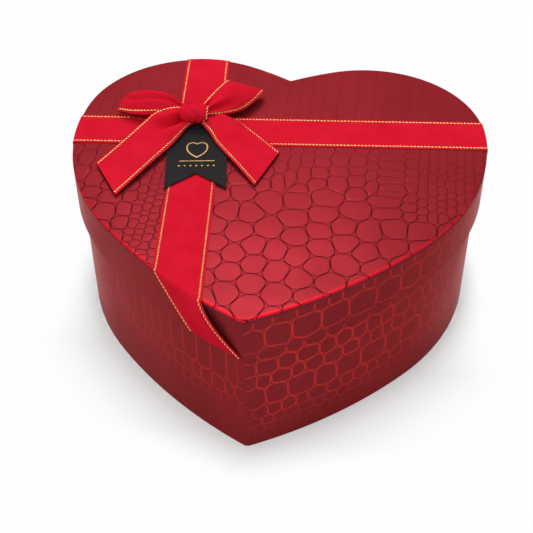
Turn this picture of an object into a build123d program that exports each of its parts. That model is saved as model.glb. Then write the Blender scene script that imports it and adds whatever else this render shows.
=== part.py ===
"""Heart-shaped gift box of covered board, with a lift-off lid, two ribbon bands, a bow and a tag.

Millimetres, +Z up.  The origin is on the table, under the middle of the lid's outline.
+X runs across the two lobes and +Y from the point of the heart to the notch between its lobes.
"""

import math
import os

from build123d import *

# Heart outline of the finished lid: four tangent arcs a side, from the notch round the lobe to the point.
# The angles are where one arc hands over to the next, in degrees from +X.
LOBE_OFFSET = 47.3
LOBE_RADIUS = 62.2
SHOULDER_RADIUS = 174.6
HIP_RADIUS = 120.7
FLANK_RADIUS = 261.7
SHOULDER_ANGLE = 112.8
HIP_ANGLE = 7.5
FLANK_ANGLE = -41.5
LID_TIP_RADIUS = 1.0
BASE_TIP_RADIUS = 4.0
NOTCH_RADIUS = 1.2

# Heights
BOX_HEIGHT = 93.5
LID_RIM_DEPTH = 25.0

# Sheet stock and the slip between lid and base
WALL_BOARD = 1.5
PANEL_BOARD = 2.0
PAPER = 0.3
TAPE = 0.2
RIBBON = 0.4
LID_CLEARANCE = 0.5

# Paper work
BASE_TURN_IN = 15.0
LID_TURN_IN = 10.0
UNDER_TURN_IN = 12.0
BOTTOM_SHEET_MARGIN = 4.0
TAPE_REACH = 10.0
TAPE_END_GAP = 1.0

# Ribbon bands and the place where they cross, measured from the left lobe's centre
RIBBON_WIDTH = 25.0
RIBBON_TUCK = 15.0
RIBBON_SKEW_ANGLE = 5.0
CROSSING_INWARD = 3.4
CROSSING_FORWARD = 9.2

# Tag
TAG_WIDTH = 31.5
TAG_LENGTH = 59.0
TAG_TOP_BEHIND_CROSSING = 8.0
TAG_CARD = 0.4
TAG_NOTCH = 12.5
TAG_ANGLE = 8.0
TAG_GLUE = 0.3
TAG_GLUE_RADIUS = 3.0

# Bow: its knot sits a little to the left of the crossing and behind it
# The angles are plan directions, in degrees from +X
BOW_LEFTWARD = 2.4
BOW_BACKWARD = 4.6
KNOT_LENGTH = 15.0
KNOT_WIDTH = 12.0
KNOT_HEIGHT = 11.0
KNOT_ROUND = 4.0
KNOT_CROWN = 2.5
GLUE_PAD = 1.0
GLUE_PAD_RADIUS = 5.0
PINCH_WIDTH = 8.0
FAN_LENGTH = 24.0
LOOP_EXIT = 5.2
LOOP_END_RADIUS = 1.7
LOOP_CREST_SHARE = 0.5
LEFT_LOOP_LENGTH = 43.0
LEFT_LOOP_RISE = 14.0
LEFT_LOOP_ANGLE = 165.5
RIGHT_LOOP_LENGTH = 39.0
RIGHT_LOOP_RISE = 16.0
RIGHT_LOOP_ANGLE = 52.0
LEFT_TAIL_EXIT = 2.6
LEFT_TAIL_LENGTH = 64.5
LEFT_TAIL_ANGLE = -125.0
LEFT_TAIL_SLANT = 4.9
RIGHT_TAIL_EXIT = 1.0
RIGHT_TAIL_LENGTH = 55.0
RIGHT_TAIL_ANGLE = -38.0
RIGHT_TAIL_SLANT = -4.9
SOFT_GAP = 0.3

# Every cut runs this far past the piece
OVERRUN = 40.0

# Turns in plan, in degrees
RIGHT_ANGLE = 90.0
STRAIGHT_ANGLE = 180.0

# Depths into the wall from its covered outer face, the same for lid and base
BOARD_FACE = PAPER
BOARD_BACK = PAPER + WALL_BOARD
LINED_FACE = BOARD_BACK + PAPER
BASE_INSET = LINED_FACE + RIBBON + LID_CLEARANCE

# Levels
FLOOR_BOARD_LOW = PAPER + PAPER
FLOOR_BOARD_TOP = FLOOR_BOARD_LOW + PANEL_BOARD
FLOOR_TOP = FLOOR_BOARD_TOP + PAPER
TOP_BOARD_TOP = BOX_HEIGHT - PAPER
TOP_BOARD_LOW = TOP_BOARD_TOP - PANEL_BOARD
CEILING = TOP_BOARD_LOW - PAPER
RIM_LOW = BOX_HEIGHT - LID_RIM_DEPTH
CROSSING_TOP = BOX_HEIGHT + RIBBON + RIBBON
TAG_LOW = CROSSING_TOP + TAG_GLUE
TAG_TOP = TAG_LOW + TAG_CARD
KNOT_LOW = TAG_TOP + GLUE_PAD


def unit(angle):
    """Unit vector in plan, at an angle in degrees from +X."""
    return Vector(math.cos(math.radians(angle)), math.sin(math.radians(angle)))


def bearing(vector):
    """Plan direction of a vector, in degrees from +X."""
    return math.degrees(math.atan2(vector.Y, vector.X))


def on_axis(centre, radius, side):
    """Point where a circle crosses the heart's axis, behind (side 1) or in front (side -1) of its centre."""
    return Vector(0, centre.Y + side * math.sqrt(radius**2 - centre.X**2))


def arc_centres(lobe_line):
    """Centres of the right half's arcs, notch to point, with the lobes' centres on y = lobe_line."""
    lobe = Vector(LOBE_OFFSET, lobe_line)
    shoulder = lobe - unit(SHOULDER_ANGLE) * (SHOULDER_RADIUS - LOBE_RADIUS)
    hip = lobe - unit(HIP_ANGLE) * (HIP_RADIUS - LOBE_RADIUS)
    flank = hip - unit(FLANK_ANGLE) * (FLANK_RADIUS - HIP_RADIUS)
    return shoulder, lobe, hip, flank


# The outline reaches as far behind the origin as in front of it
TIP_DROP = -on_axis(arc_centres(0)[3], FLANK_RADIUS, -1).Y
LOBE_LINE = (TIP_DROP - LOBE_RADIUS) / 2
HEART_LENGTH = TIP_DROP + LOBE_RADIUS
ARC_CENTRES = arc_centres(LOBE_LINE)
ARC_RADII = (SHOULDER_RADIUS, LOBE_RADIUS, HIP_RADIUS, FLANK_RADIUS)
CROSSING = Vector(CROSSING_INWARD - LOBE_OFFSET, LOBE_LINE - CROSSING_FORWARD)
BOW_MIDDLE = CROSSING + Vector(-BOW_LEFTWARD, BOW_BACKWARD)


class Shell:
    """A heart-shaped wall of nested layers, each named by its depth inside the wall's outer face."""

    def __init__(self, inset, tip_radius):
        self.inset = inset
        self.tip_radius = tip_radius

    def face(self, depth):
        """Heart face at a depth, with parallel rounding at the point and the notch."""
        inset = self.inset + depth
        radii = [radius - inset for radius in ARC_RADII]
        notch = on_axis(ARC_CENTRES[0], radii[0], 1)
        tip = on_axis(ARC_CENTRES[-1], radii[-1], -1)
        first = bearing(notch - ARC_CENTRES[0])
        last = bearing(tip - ARC_CENTRES[-1])
        turns = (first, SHOULDER_ANGLE, HIP_ANGLE, FLANK_ANGLE, last)
        right = Curve() + [
            CenterArc(centre, radius, start, end - start)
            for centre, radius, start, end in zip(ARC_CENTRES, radii, turns, turns[1:])
        ]
        heart = make_face(right.edges() + mirror(right, about=Plane.YZ).edges())
        heart = fillet(heart.vertices().sort_by_distance(notch)[0], NOTCH_RADIUS + inset)
        if self.tip_radius > depth:
            heart = fillet(heart.vertices().sort_by_distance(tip)[0], self.tip_radius - depth)
        return heart

    def plate(self, depth, low, high):
        """Flat heart-shaped layer between two levels."""
        return extrude(Pos(Z=low) * self.face(depth), high - low)

    def ring(self, outer, inner, low, high):
        """Upright layer between two depths and two levels."""
        return self.plate(outer, low, high) - self.plate(inner, low, high)


LID = Shell(0, LID_TIP_RADIUS)
BASE = Shell(BASE_INSET, BASE_TIP_RADIUS)


def halves(ring):
    """The left and right strips of a ring that is butted on the heart's axis."""
    left = split(ring, bisect_by=Plane.YZ, keep=Keep.BOTTOM)
    right = split(ring, bisect_by=Plane.YZ, keep=Keep.TOP)
    return left, right


def corner_tapes(shell, low, high):
    """Stay tapes inside the point and the notch of a board ring, between two levels."""
    skin = shell.ring(BOARD_BACK, BOARD_BACK + TAPE, low + TAPE_END_GAP, high - TAPE_END_GAP)
    cutter = Box(TAPE_REACH + TAPE_REACH, HEART_LENGTH + OVERRUN, BOX_HEIGHT + BOX_HEIGHT)
    strips = skin & cutter
    tip = split(strips, bisect_by=Plane.XZ, keep=Keep.TOP)
    notch = split(strips, bisect_by=Plane.XZ, keep=Keep.BOTTOM)
    return tip, notch


def base_pieces():
    """Boards and papers of the base."""
    wall_left, wall_right = halves(BASE.ring(BOARD_FACE, BOARD_BACK, FLOOR_BOARD_LOW, CEILING - PAPER))
    turn_in_low = CEILING - BASE_TURN_IN
    tip_tape, notch_tape = corner_tapes(BASE, FLOOR_TOP, turn_in_low)
    wrap = BASE.ring(0, BOARD_FACE, PAPER, CEILING)
    wrap += BASE.ring(0, LINED_FACE, CEILING - PAPER, CEILING)
    wrap += BASE.ring(BOARD_BACK, LINED_FACE, turn_in_low, CEILING)
    wrap += BASE.ring(0, UNDER_TURN_IN, PAPER, FLOOR_BOARD_LOW)
    bottom = BASE.plate(BOTTOM_SHEET_MARGIN, 0, PAPER) + BASE.plate(UNDER_TURN_IN, 0, FLOOR_BOARD_LOW)
    return {
        "base_floor_board": BASE.plate(BOARD_BACK, FLOOR_BOARD_LOW, FLOOR_BOARD_TOP),
        "base_wall_left": wall_left,
        "base_wall_right": wall_right,
        "base_tip_tape": tip_tape,
        "base_notch_tape": notch_tape,
        "base_wrap": wrap,
        "base_wall_lining": BASE.ring(BOARD_BACK, LINED_FACE, FLOOR_TOP, turn_in_low) - tip_tape - notch_tape,
        "base_floor_lining": BASE.plate(BOARD_BACK, FLOOR_BOARD_TOP, FLOOR_TOP),
        "base_bottom_sheet": bottom,
    }


def lid_pieces():
    """Boards and papers of the lid."""
    rim_left, rim_right = halves(LID.ring(BOARD_FACE, BOARD_BACK, RIM_LOW + PAPER, TOP_BOARD_LOW))
    turn_in_top = RIM_LOW + LID_TURN_IN
    tip_tape, notch_tape = corner_tapes(LID, turn_in_top, CEILING)
    wrap = LID.ring(0, BOARD_FACE, RIM_LOW, TOP_BOARD_TOP)
    wrap += LID.ring(0, LINED_FACE, RIM_LOW, RIM_LOW + PAPER)
    wrap += LID.ring(BOARD_BACK, LINED_FACE, RIM_LOW, turn_in_top)
    return {
        "lid_top_board": LID.plate(BOARD_FACE, TOP_BOARD_LOW, TOP_BOARD_TOP),
        "lid_rim_left": rim_left,
        "lid_rim_right": rim_right,
        "lid_tip_tape": tip_tape,
        "lid_notch_tape": notch_tape,
        "lid_top_sheet": LID.plate(0, TOP_BOARD_TOP, BOX_HEIGHT),
        "lid_rim_wrap": wrap,
        "lid_rim_lining": LID.ring(BOARD_BACK, LINED_FACE, turn_in_top, CEILING) - tip_tape - notch_tape,
        "lid_top_lining": LID.plate(BOARD_BACK, CEILING, TOP_BOARD_LOW),
    }


def upright_slab(turn):
    """Tall slab one ribbon wide, from the crossing out past the lid in one plan direction."""
    slab = Box(
        HEART_LENGTH + OVERRUN,
        RIBBON_WIDTH,
        BOX_HEIGHT + OVERRUN,
        align=(Align.MIN, Align.CENTER, Align.MIN),
    )
    return Pos(CROSSING.X, CROSSING.Y) * Rot(Z=turn) * slab


def tucked_skin():
    """Layer one ribbon thick down the outside of the rim, under its edge and up inside."""
    skin = LID.ring(-RIBBON, 0, RIM_LOW - RIBBON, BOX_HEIGHT + RIBBON)
    skin += LID.ring(-RIBBON, LINED_FACE + RIBBON, RIM_LOW - RIBBON, RIM_LOW)
    return skin + LID.ring(LINED_FACE, LINED_FACE + RIBBON, RIM_LOW - RIBBON, RIM_LOW + RIBBON_TUCK)


def cross_ribbon(skin, top):
    """Band across the lobes, folded over both sides of the rim."""
    right = upright_slab(RIBBON_SKEW_ANGLE)
    left = upright_slab(RIBBON_SKEW_ANGLE + STRAIGHT_ANGLE)
    return (skin + top) & (right + left)


def ribbon_exit():
    """Where the long band's middle crosses the left flank, and the way along the flank to the point."""
    centre = Vector(-ARC_CENTRES[-1].X, ARC_CENTRES[-1].Y)
    along = unit(RIBBON_SKEW_ANGLE - RIGHT_ANGLE)
    offset = CROSSING - centre
    half = offset.dot(along)
    reach = math.sqrt(half**2 - offset.dot(offset) + FLANK_RADIUS**2) - half
    place = CROSSING + along * reach
    return place, unit(bearing(place - centre) + RIGHT_ANGLE)


def front_fold(skin):
    """End of the long band: it turns over the slanting flank and runs askew down the rim."""
    place, towards_tip = ribbon_exit()
    along = unit(RIBBON_SKEW_ANGLE - RIGHT_ANGLE)
    slant = math.acos(along.dot(Vector(towards_tip.Y, -towards_tip.X)))
    half_cut = RIBBON_WIDTH / 2 / math.cos(slant)
    drift = LID_RIM_DEPTH * math.tan(slant)
    frame = Plane(origin=place, x_dir=towards_tip, z_dir=Vector(towards_tip.Y, -towards_tip.X))
    outside = Polyline(
        (-half_cut, BOX_HEIGHT + RIBBON),
        (half_cut, BOX_HEIGHT + RIBBON),
        (half_cut, BOX_HEIGHT),
        (half_cut + drift, RIM_LOW),
        (half_cut + drift, RIM_LOW - RIBBON),
        (drift - half_cut, RIM_LOW - RIBBON),
        (drift - half_cut, RIM_LOW),
        (-half_cut, BOX_HEIGHT),
        close=True,
    )
    outer_prism = extrude(frame * make_face(outside), OVERRUN, both=True)
    inner_height = RIM_LOW + RIBBON_TUCK
    inside = Pos(drift, inner_height / 2) * Rectangle(half_cut + half_cut, inner_height)
    inner_prism = extrude(frame * inside, OVERRUN, both=True)
    outer_skin = skin - LID.plate(0, 0, BOX_HEIGHT)
    return (outer_skin & outer_prism) + (skin & inner_prism & LID.plate(0, 0, BOX_HEIGHT))


def long_ribbon(skin, top):
    """Band from the left lobe's back edge to the left flank, over the cross band where they meet."""
    back = upright_slab(RIBBON_SKEW_ANGLE + RIGHT_ANGLE)
    front = upright_slab(RIBBON_SKEW_ANGLE - RIGHT_ANGLE)
    bridge_length = RIBBON_WIDTH + RIBBON + RIBBON
    crossing = Pos(CROSSING.X, CROSSING.Y) * Rot(Z=RIBBON_SKEW_ANGLE)
    bridge = Box(RIBBON_WIDTH, bridge_length, RIBBON + RIBBON, align=(Align.CENTER, Align.CENTER, Align.MIN))
    under = Box(RIBBON_WIDTH, RIBBON_WIDTH, RIBBON, align=(Align.CENTER, Align.CENTER, Align.MIN))
    band = (top & (back + front)) + (skin & back) + front_fold(skin)
    return band + crossing * Pos(Z=BOX_HEIGHT) * bridge - crossing * Pos(Z=BOX_HEIGHT) * under


def knot():
    """Rounded centre of the bow."""
    outline = RectangleRounded(KNOT_LENGTH, KNOT_WIDTH, KNOT_ROUND)
    body = extrude(outline, KNOT_HEIGHT)
    body = fillet(body.faces().sort_by(Axis.Z)[-1].edges(), KNOT_CROWN)
    return Pos(BOW_MIDDLE.X, BOW_MIDDLE.Y, KNOT_LOW) * Rot(Z=RIBBON_SKEW_ANGLE) * body


def fan(length, slant):
    """Plan shape of a ribbon that spreads from the knot to its full width, with a slanted end."""
    half_pinch = PINCH_WIDTH / 2
    half_width = RIBBON_WIDTH / 2
    outline = Polyline(
        (0, -half_pinch),
        (FAN_LENGTH, -half_width),
        (length - slant, -half_width),
        (length + slant, half_width),
        (FAN_LENGTH, half_width),
        (0, half_pinch),
        close=True,
    )
    return extrude(make_face(outline), BOX_HEIGHT + BOX_HEIGHT)


def bow_strip(profile, turn, trim):
    """Ribbon of a side profile, trimmed in plan and turned about the knot's middle."""
    strip = extrude(Plane.XZ * profile, RIBBON_WIDTH, both=True) & trim
    return Pos(BOW_MIDDLE.X, BOW_MIDDLE.Y) * Rot(Z=turn) * strip


def loop(length, rise, turn):
    """Flattened loop of ribbon: an arched upper strand, a tight fold and a straight lower strand."""
    exit_low = KNOT_LOW + LOOP_EXIT
    rest = BOX_HEIGHT + RIBBON + SOFT_GAP
    fold = length - LOOP_END_RADIUS
    fold_top = rest + LOOP_END_RADIUS + LOOP_END_RADIUS
    crest = (length * LOOP_CREST_SHARE, BOX_HEIGHT + rise)
    outline = Curve() + [
        ThreePointArc((0, exit_low + RIBBON), crest, (fold, fold_top)),
        ThreePointArc((fold, fold_top), (length, rest + LOOP_END_RADIUS), (fold, rest)),
        Polyline((fold, rest), (0, exit_low), (0, exit_low + RIBBON)),
    ]
    outer = make_face(outline.edges())
    return bow_strip(outer - offset(outer, -RIBBON), turn, fan(length + OVERRUN, 0))


def tail(exit_height, length, turn, slant):
    """Loose end of ribbon: it leaves the knot low and settles over the tag in one long arc."""
    exit_low = KNOT_LOW + exit_height
    rest = TAG_TOP + SOFT_GAP
    reach = length + abs(slant)
    radius = (reach**2 + (exit_low - rest) ** 2) / (exit_low - rest) / 2
    sweep_angle = math.degrees(math.asin(reach / radius))
    down = STRAIGHT_ANGLE + RIGHT_ANGLE
    path = CenterArc((reach, rest + radius), radius, down - sweep_angle, sweep_angle)
    inner_path = CenterArc((reach, rest + radius), radius - RIBBON, down - sweep_angle, sweep_angle)
    ends = [Line(path @ 0, inner_path @ 0), Line(path @ 1, inner_path @ 1)]
    profile = make_face((Curve() + [path, inner_path] + ends).edges())
    return bow_strip(profile, turn, fan(length, slant))


def bow_pieces():
    """Knot, loops and tails of the bow, with the pad that holds it."""
    middle = knot()
    left_tail = tail(LEFT_TAIL_EXIT, LEFT_TAIL_LENGTH, LEFT_TAIL_ANGLE, LEFT_TAIL_SLANT)
    right_tail = tail(RIGHT_TAIL_EXIT, RIGHT_TAIL_LENGTH, RIGHT_TAIL_ANGLE, RIGHT_TAIL_SLANT)
    return {
        "bow_knot": middle,
        "bow_left_loop": loop(LEFT_LOOP_LENGTH, LEFT_LOOP_RISE, LEFT_LOOP_ANGLE) - middle,
        "bow_right_loop": loop(RIGHT_LOOP_LENGTH, RIGHT_LOOP_RISE, RIGHT_LOOP_ANGLE) - middle,
        "bow_left_tail": left_tail - middle,
        "bow_right_tail": right_tail - middle,
        "bow_glue_pad": Pos(BOW_MIDDLE.X, BOW_MIDDLE.Y, TAG_TOP) * extrude(Circle(GLUE_PAD_RADIUS), GLUE_PAD),
    }


def tag_pieces():
    """Swallow-tailed card, held down on the crossing under the knot."""
    half = TAG_WIDTH / 2
    foot = TAG_TOP_BEHIND_CROSSING - TAG_LENGTH
    outline = Polyline(
        (-half, TAG_TOP_BEHIND_CROSSING),
        (-half, foot),
        (0, foot + TAG_NOTCH),
        (half, foot),
        (half, TAG_TOP_BEHIND_CROSSING),
        close=True,
    )
    place = Pos(CROSSING.X, CROSSING.Y) * Rot(Z=TAG_ANGLE)
    dot = Pos(CROSSING.X, CROSSING.Y, CROSSING_TOP) * extrude(Circle(TAG_GLUE_RADIUS), TAG_GLUE)
    return {
        "gift_tag": place * Pos(Z=TAG_LOW) * extrude(make_face(outline), TAG_CARD),
        "tag_glue_dot": dot,
    }


def ribbon_pieces():
    """The two ribbon bands on the lid."""
    skin = tucked_skin()
    top = LID.plate(-RIBBON, BOX_HEIGHT, BOX_HEIGHT + RIBBON)
    return {"cross_ribbon": cross_ribbon(skin, top), "long_ribbon": long_ribbon(skin, top)}


os.makedirs("parts", exist_ok=True)
for pieces in (base_pieces(), lid_pieces(), ribbon_pieces(), bow_pieces(), tag_pieces()):
    for node, solid in pieces.items():
        export_step(solid, f"parts/{node}.step")
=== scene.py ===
"""Looks of a heart-shaped gift box: embossed paper, ribbon bands, a bow, a tag and a plain studio.

Metres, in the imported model's own frame: +Z up, +X across the two lobes, +Y from the point to the notch.
"""

import bisect
import logging
import math
import random
from dataclasses import dataclass, field
from enum import Enum
from functools import cached_property, lru_cache
from itertools import accumulate, pairwise
from typing import Callable, Sequence

import bmesh
import bpy
from mathutils import Matrix, Vector
from mathutils.geometry import delaunay_2d_cdt
from mathutils.kdtree import KDTree


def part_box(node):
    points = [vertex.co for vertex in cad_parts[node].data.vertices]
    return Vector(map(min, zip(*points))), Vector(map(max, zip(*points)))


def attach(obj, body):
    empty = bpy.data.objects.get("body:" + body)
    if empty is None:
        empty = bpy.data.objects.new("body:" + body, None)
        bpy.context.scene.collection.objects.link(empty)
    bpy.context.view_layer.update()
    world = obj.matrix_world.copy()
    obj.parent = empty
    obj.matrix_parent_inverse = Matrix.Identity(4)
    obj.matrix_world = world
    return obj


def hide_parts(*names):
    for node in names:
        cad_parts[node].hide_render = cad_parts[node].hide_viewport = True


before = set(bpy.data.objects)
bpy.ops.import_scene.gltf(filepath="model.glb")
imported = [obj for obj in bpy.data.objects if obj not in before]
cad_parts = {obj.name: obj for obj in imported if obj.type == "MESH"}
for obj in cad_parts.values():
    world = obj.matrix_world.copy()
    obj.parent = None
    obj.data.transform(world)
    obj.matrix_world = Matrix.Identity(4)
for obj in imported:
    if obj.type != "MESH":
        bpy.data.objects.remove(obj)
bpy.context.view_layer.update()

LOG = logging.getLogger("heart_box")
MM = 0.001
PRESS = "press"
# name of the point attribute that paints a highlight along the lid's front edge
PAINTED_EDGE_HIGHLIGHT = "edge"
# name of the point attribute that paints a glint on top of each twist of the gold thread
PAINTED_BEAD_GLINT = "bead"
AWAY = "away"

Colour = tuple[float, float, float]
Pair = tuple[float, float]
Triple = tuple[float, float, float]
Lines = list[list[Vector]]
Mesh = bpy.types.Mesh
Socket = bpy.types.NodeSocket
NOISE_SPAN: Pair = (0.3, 0.7)
FULL_SPAN: Pair = (0.0, 1.0)


class Body(Enum):
    """The two bodies of the box."""

    BASE = "base"
    LID = "lid"


class Slot(Enum):
    """Names of the record's material slots for the embossed paper, the ribbon and the tag card."""

    EMBOSSED = "embossed_paper"
    RIBBON = "ribbon"
    TAG = "tag_card"


class Hold(Enum):
    """How a ribbon lies."""

    STRETCHED = "stretched"
    FOLDED = "folded"
    GATHERED = "gathered"


def unit(angle: float) -> Vector:
    """Unit vector in plan, at an angle in radians from +X."""
    return Vector((math.cos(angle), math.sin(angle)))


def bearing(way: Vector) -> float:
    """Plan direction of a vector, in radians from +X."""
    return math.atan2(way.y, way.x)


def soft_step(value: float) -> float:
    """Smooth step from 0 to 1, as value goes from 0 to 1."""
    share = min(max(value, 0.0), 1.0)
    return share * share * (3 - 2 * share)


def soft_between(value: float, span: Pair) -> float:
    """Smooth step from 0 to 1, as value crosses a span."""
    return soft_step((value - span[0]) / (span[1] - span[0]))


def middle_of(border: Sequence[Vector]) -> Vector:
    """Mean of a flat border's corners."""
    return sum(border, Vector((0, 0))) / len(border)


def paired(loop: list) -> list[tuple]:
    """Each item of a closed loop with the one after it."""
    return list(zip(loop, loop[1:] + loop[:1]))


def rim_of(rows: list[list[int]]) -> list[int]:
    """Numbers round the rim of a grid of points."""
    rim = rows[0] + [row[-1] for row in rows[1:-1]] + rows[-1][::-1]
    return rim + [row[0] for row in rows[-2:0:-1]]


class NodeWeb:
    """Nodes of a material or of the world."""

    def __init__(self, tree: bpy.types.NodeTree) -> None:
        """Start from a tree that is there."""
        self.nodes = tree.nodes
        self.links = tree.links

    def put(self, target: Socket, value: object) -> None:
        """Set a socket.

        Args:
            target: Input socket.
            value: Another node's output, a number or a colour.
        """
        if isinstance(value, Socket):
            self.links.new(value, target)
        else:
            target.default_value = (*value, 1.0) if isinstance(value, tuple) else value

    def add(self, kind: str, inputs: dict[str | int, object], output: str | int = 0, **own: object) -> Socket:
        """Add one node.

        Args:
            kind: Blender's name for it, without the usual start.
            inputs: What its inputs get, by name or number.
            output: The output that is used.
            own: The node's own settings.

        Returns:
            That output.
        """
        node = self.nodes.new("ShaderNode" + kind)
        for name, value in own.items():
            setattr(node, name, value)
        for name, value in inputs.items():
            self.put(node.inputs[name], value)
        return node.outputs[output]

    def maths(self, operation: str, first: object, second: object = 0.0) -> Socket:
        """One sum, by Blender's name for it, of two numbers or outputs."""
        return self.add("Math", {0: first, 1: second}, operation=operation)

    def shown(self) -> Socket:
        """Which rays show the background: the camera's, and those off gloss or through glass.

        Returns:
            1 for such a ray, else 0.
        """
        path = self.nodes.new("ShaderNodeLightPath").outputs
        shown = self.maths("MAXIMUM", path["Is Camera Ray"], path["Is Glossy Ray"])
        return self.maths("MAXIMUM", shown, path["Is Transmission Ray"])


class NodeGraph(NodeWeb):
    """One material's nodes, built around its Principled shader."""

    def __init__(self, name: str) -> None:
        """Start a material.

        Args:
            name: Name of the new material.
        """
        self.material = bpy.data.materials.new(name)
        self.material.use_nodes = True
        super().__init__(self.material.node_tree)
        self.shader = self.nodes["Principled BSDF"]
        self.place = self.add("TexCoord", {}, "Object")

    def surface(self, **values: object) -> None:
        """Set the shader's sockets.

        Args:
            values: Socket names in lower case with _ for a space, and what each gets.
        """
        known = {socket.name.lower().replace(" ", "_"): socket for socket in self.shader.inputs}
        for name, value in values.items():
            self.put(known[name], value)

    def noise(self, scale: float, detail: float = 2.0, stretch: Triple = (1, 1, 1)) -> Socket:
        """Noise from 0 to 1: features per metre, octaves, and factors on the three coordinates."""
        place = self.add("Mapping", {"Vector": self.place, "Scale": Vector(stretch)})
        return self.add("TexNoise", {"Vector": place, "Scale": scale, "Detail": detail}, "Fac")

    def span(self, value: Socket, source: Pair = NOISE_SPAN, target: Pair = FULL_SPAN) -> Socket:
        """Value moved from one range to another and held inside it."""
        limits = zip(("From Min", "From Max", "To Min", "To Max"), (*source, *target))
        return self.add("MapRange", {"Value": value, **dict(limits)})

    def blend(self, share: Socket, first: object, second: object) -> Socket:
        """Mix of two colours, with a share of the second."""
        return self.add("Mix", {0: share, 6: first, 7: second}, 2, data_type="RGBA")

    def bump(self, height: Socket, depth: float, strength: float = 1.0) -> Socket:
        """Normal of a small relief, whose height of 1 stands for a depth in metres."""
        return self.add("Bump", {"Height": height, "Distance": depth, "Strength": strength})

    def attribute(self, name: str) -> Socket:
        """A mesh's own number at each point."""
        return self.add("Attribute", {}, "Fac", attribute_name=name)

    def chart(self) -> tuple[Socket, Socket]:
        """A ribbon's chart: the share across its width, and the metres along it."""
        chart = self.add("UVMap", {})
        return self.add("SeparateXYZ", {0: chart}, "X"), self.add("SeparateXYZ", {0: chart}, "Y")


@dataclass(frozen=True)
class Finish:
    """A named surface finish, made into a material on first use."""

    name: str

    def material(self) -> bpy.types.Material:
        """The finish's material.

        Returns:
            The material, new on first use.
        """
        known = bpy.data.materials.get(self.name)
        if known is None:
            graph = NodeGraph(self.name)
            self.build(graph)
            known = graph.material
        return known

    def build(self, graph: NodeGraph) -> None:
        """Make the nodes.

        Args:
            graph: The new material's nodes.
        """
        raise NotImplementedError


@dataclass(frozen=True)
class EmbossedPaper(Finish):
    """Satin paper pressed with scales, with another colour in the pressed lines and in fine cracks, which
    paints the grooves' shade on the lid's top and their highlight on the walls.
    """

    dull: Colour
    bright: Colour
    line: Colour
    # edge: colour of the painted highlight along the lid's front edge
    edge: Colour = (0.62, 0.012, 0.024)
    metal: float = 0.42
    gloss: Pair = (0.29, 0.37)
    tint: Colour = (1.0, 0.12, 0.14)
    gleam: float = 0.04
    pores: float = 1500.0
    crackle: float = 0.03
    crack_scale: float = 340.0
    crack_width: float = 0.06

    def build(self, graph: NodeGraph) -> None:
        """Make the nodes.

        Args:
            graph: The new material's nodes.
        """
        tone = graph.span(graph.noise(22.0, 3.0))
        face = graph.blend(tone, self.dull, self.bright)
        # painted highlight: the edge colour is laid along the lid's front edge, where the rolled edge catches
        # the light
        face = graph.blend(graph.attribute(PAINTED_EDGE_HIGHLIGHT), face, self.edge)
        # the pressed lines take the line colour, a painted shade of the grooves on the lid's top and a
        # painted highlight on them on the walls
        pressed = graph.span(graph.attribute(PRESS), (0.08, 0.75))
        ripple = graph.maths("SUBTRACT", graph.noise(self.crack_scale, 1.0, (1.0, 1.0, 0.6)), 0.5)
        crack = graph.span(graph.maths("ABSOLUTE", ripple), (0.0, self.crack_width), (self.crackle, 0.0))
        pressed = graph.maths("MAXIMUM", pressed, crack)
        graph.surface(
            base_color=graph.blend(pressed, face, self.line),
            metallic=self.metal,
            specular_ior_level=self.gleam,
            specular_tint=self.tint,
            roughness=graph.span(graph.noise(60.0, 4.0), NOISE_SPAN, self.gloss),
            normal=graph.bump(graph.noise(self.pores, 3.0), 0.05 * MM, 0.12),
        )


@dataclass(frozen=True)
class PlainPaper(Finish):
    """Matt paper with faint fibres and a little mottling."""

    shade: Colour
    fleck: Colour
    gleam: float = 0.4

    def build(self, graph: NodeGraph) -> None:
        """Make the nodes.

        Args:
            graph: The new material's nodes.
        """
        fibres = graph.noise(420.0, 5.0, (1.0, 0.18, 1.0))
        mottle = graph.maths("MULTIPLY", fibres, graph.noise(35.0, 3.0))
        graph.surface(
            base_color=graph.blend(graph.span(mottle, (0.15, 0.4)), self.shade, self.fleck),
            roughness=graph.span(fibres, NOISE_SPAN, (0.72, 0.9)),
            specular_ior_level=self.gleam,
            normal=graph.bump(fibres, 0.06 * MM, 0.4),
        )


@dataclass(frozen=True)
class RawBoard(Finish):
    """Unlined board with dark and pale chips in its pulp."""

    pulp: Colour = (0.40, 0.38, 0.35)
    chip: Colour = (0.22, 0.20, 0.18)

    def build(self, graph: NodeGraph) -> None:
        """Make the nodes.

        Args:
            graph: The new material's nodes.
        """
        chips = graph.noise(900.0, 4.0)
        graph.surface(
            base_color=graph.blend(graph.span(chips, (0.55, 0.75)), self.pulp, self.chip),
            roughness=graph.span(chips, NOISE_SPAN, (0.85, 0.95)),
            normal=graph.bump(graph.noise(300.0, 5.0), 0.12 * MM, 0.5),
        )


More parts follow.
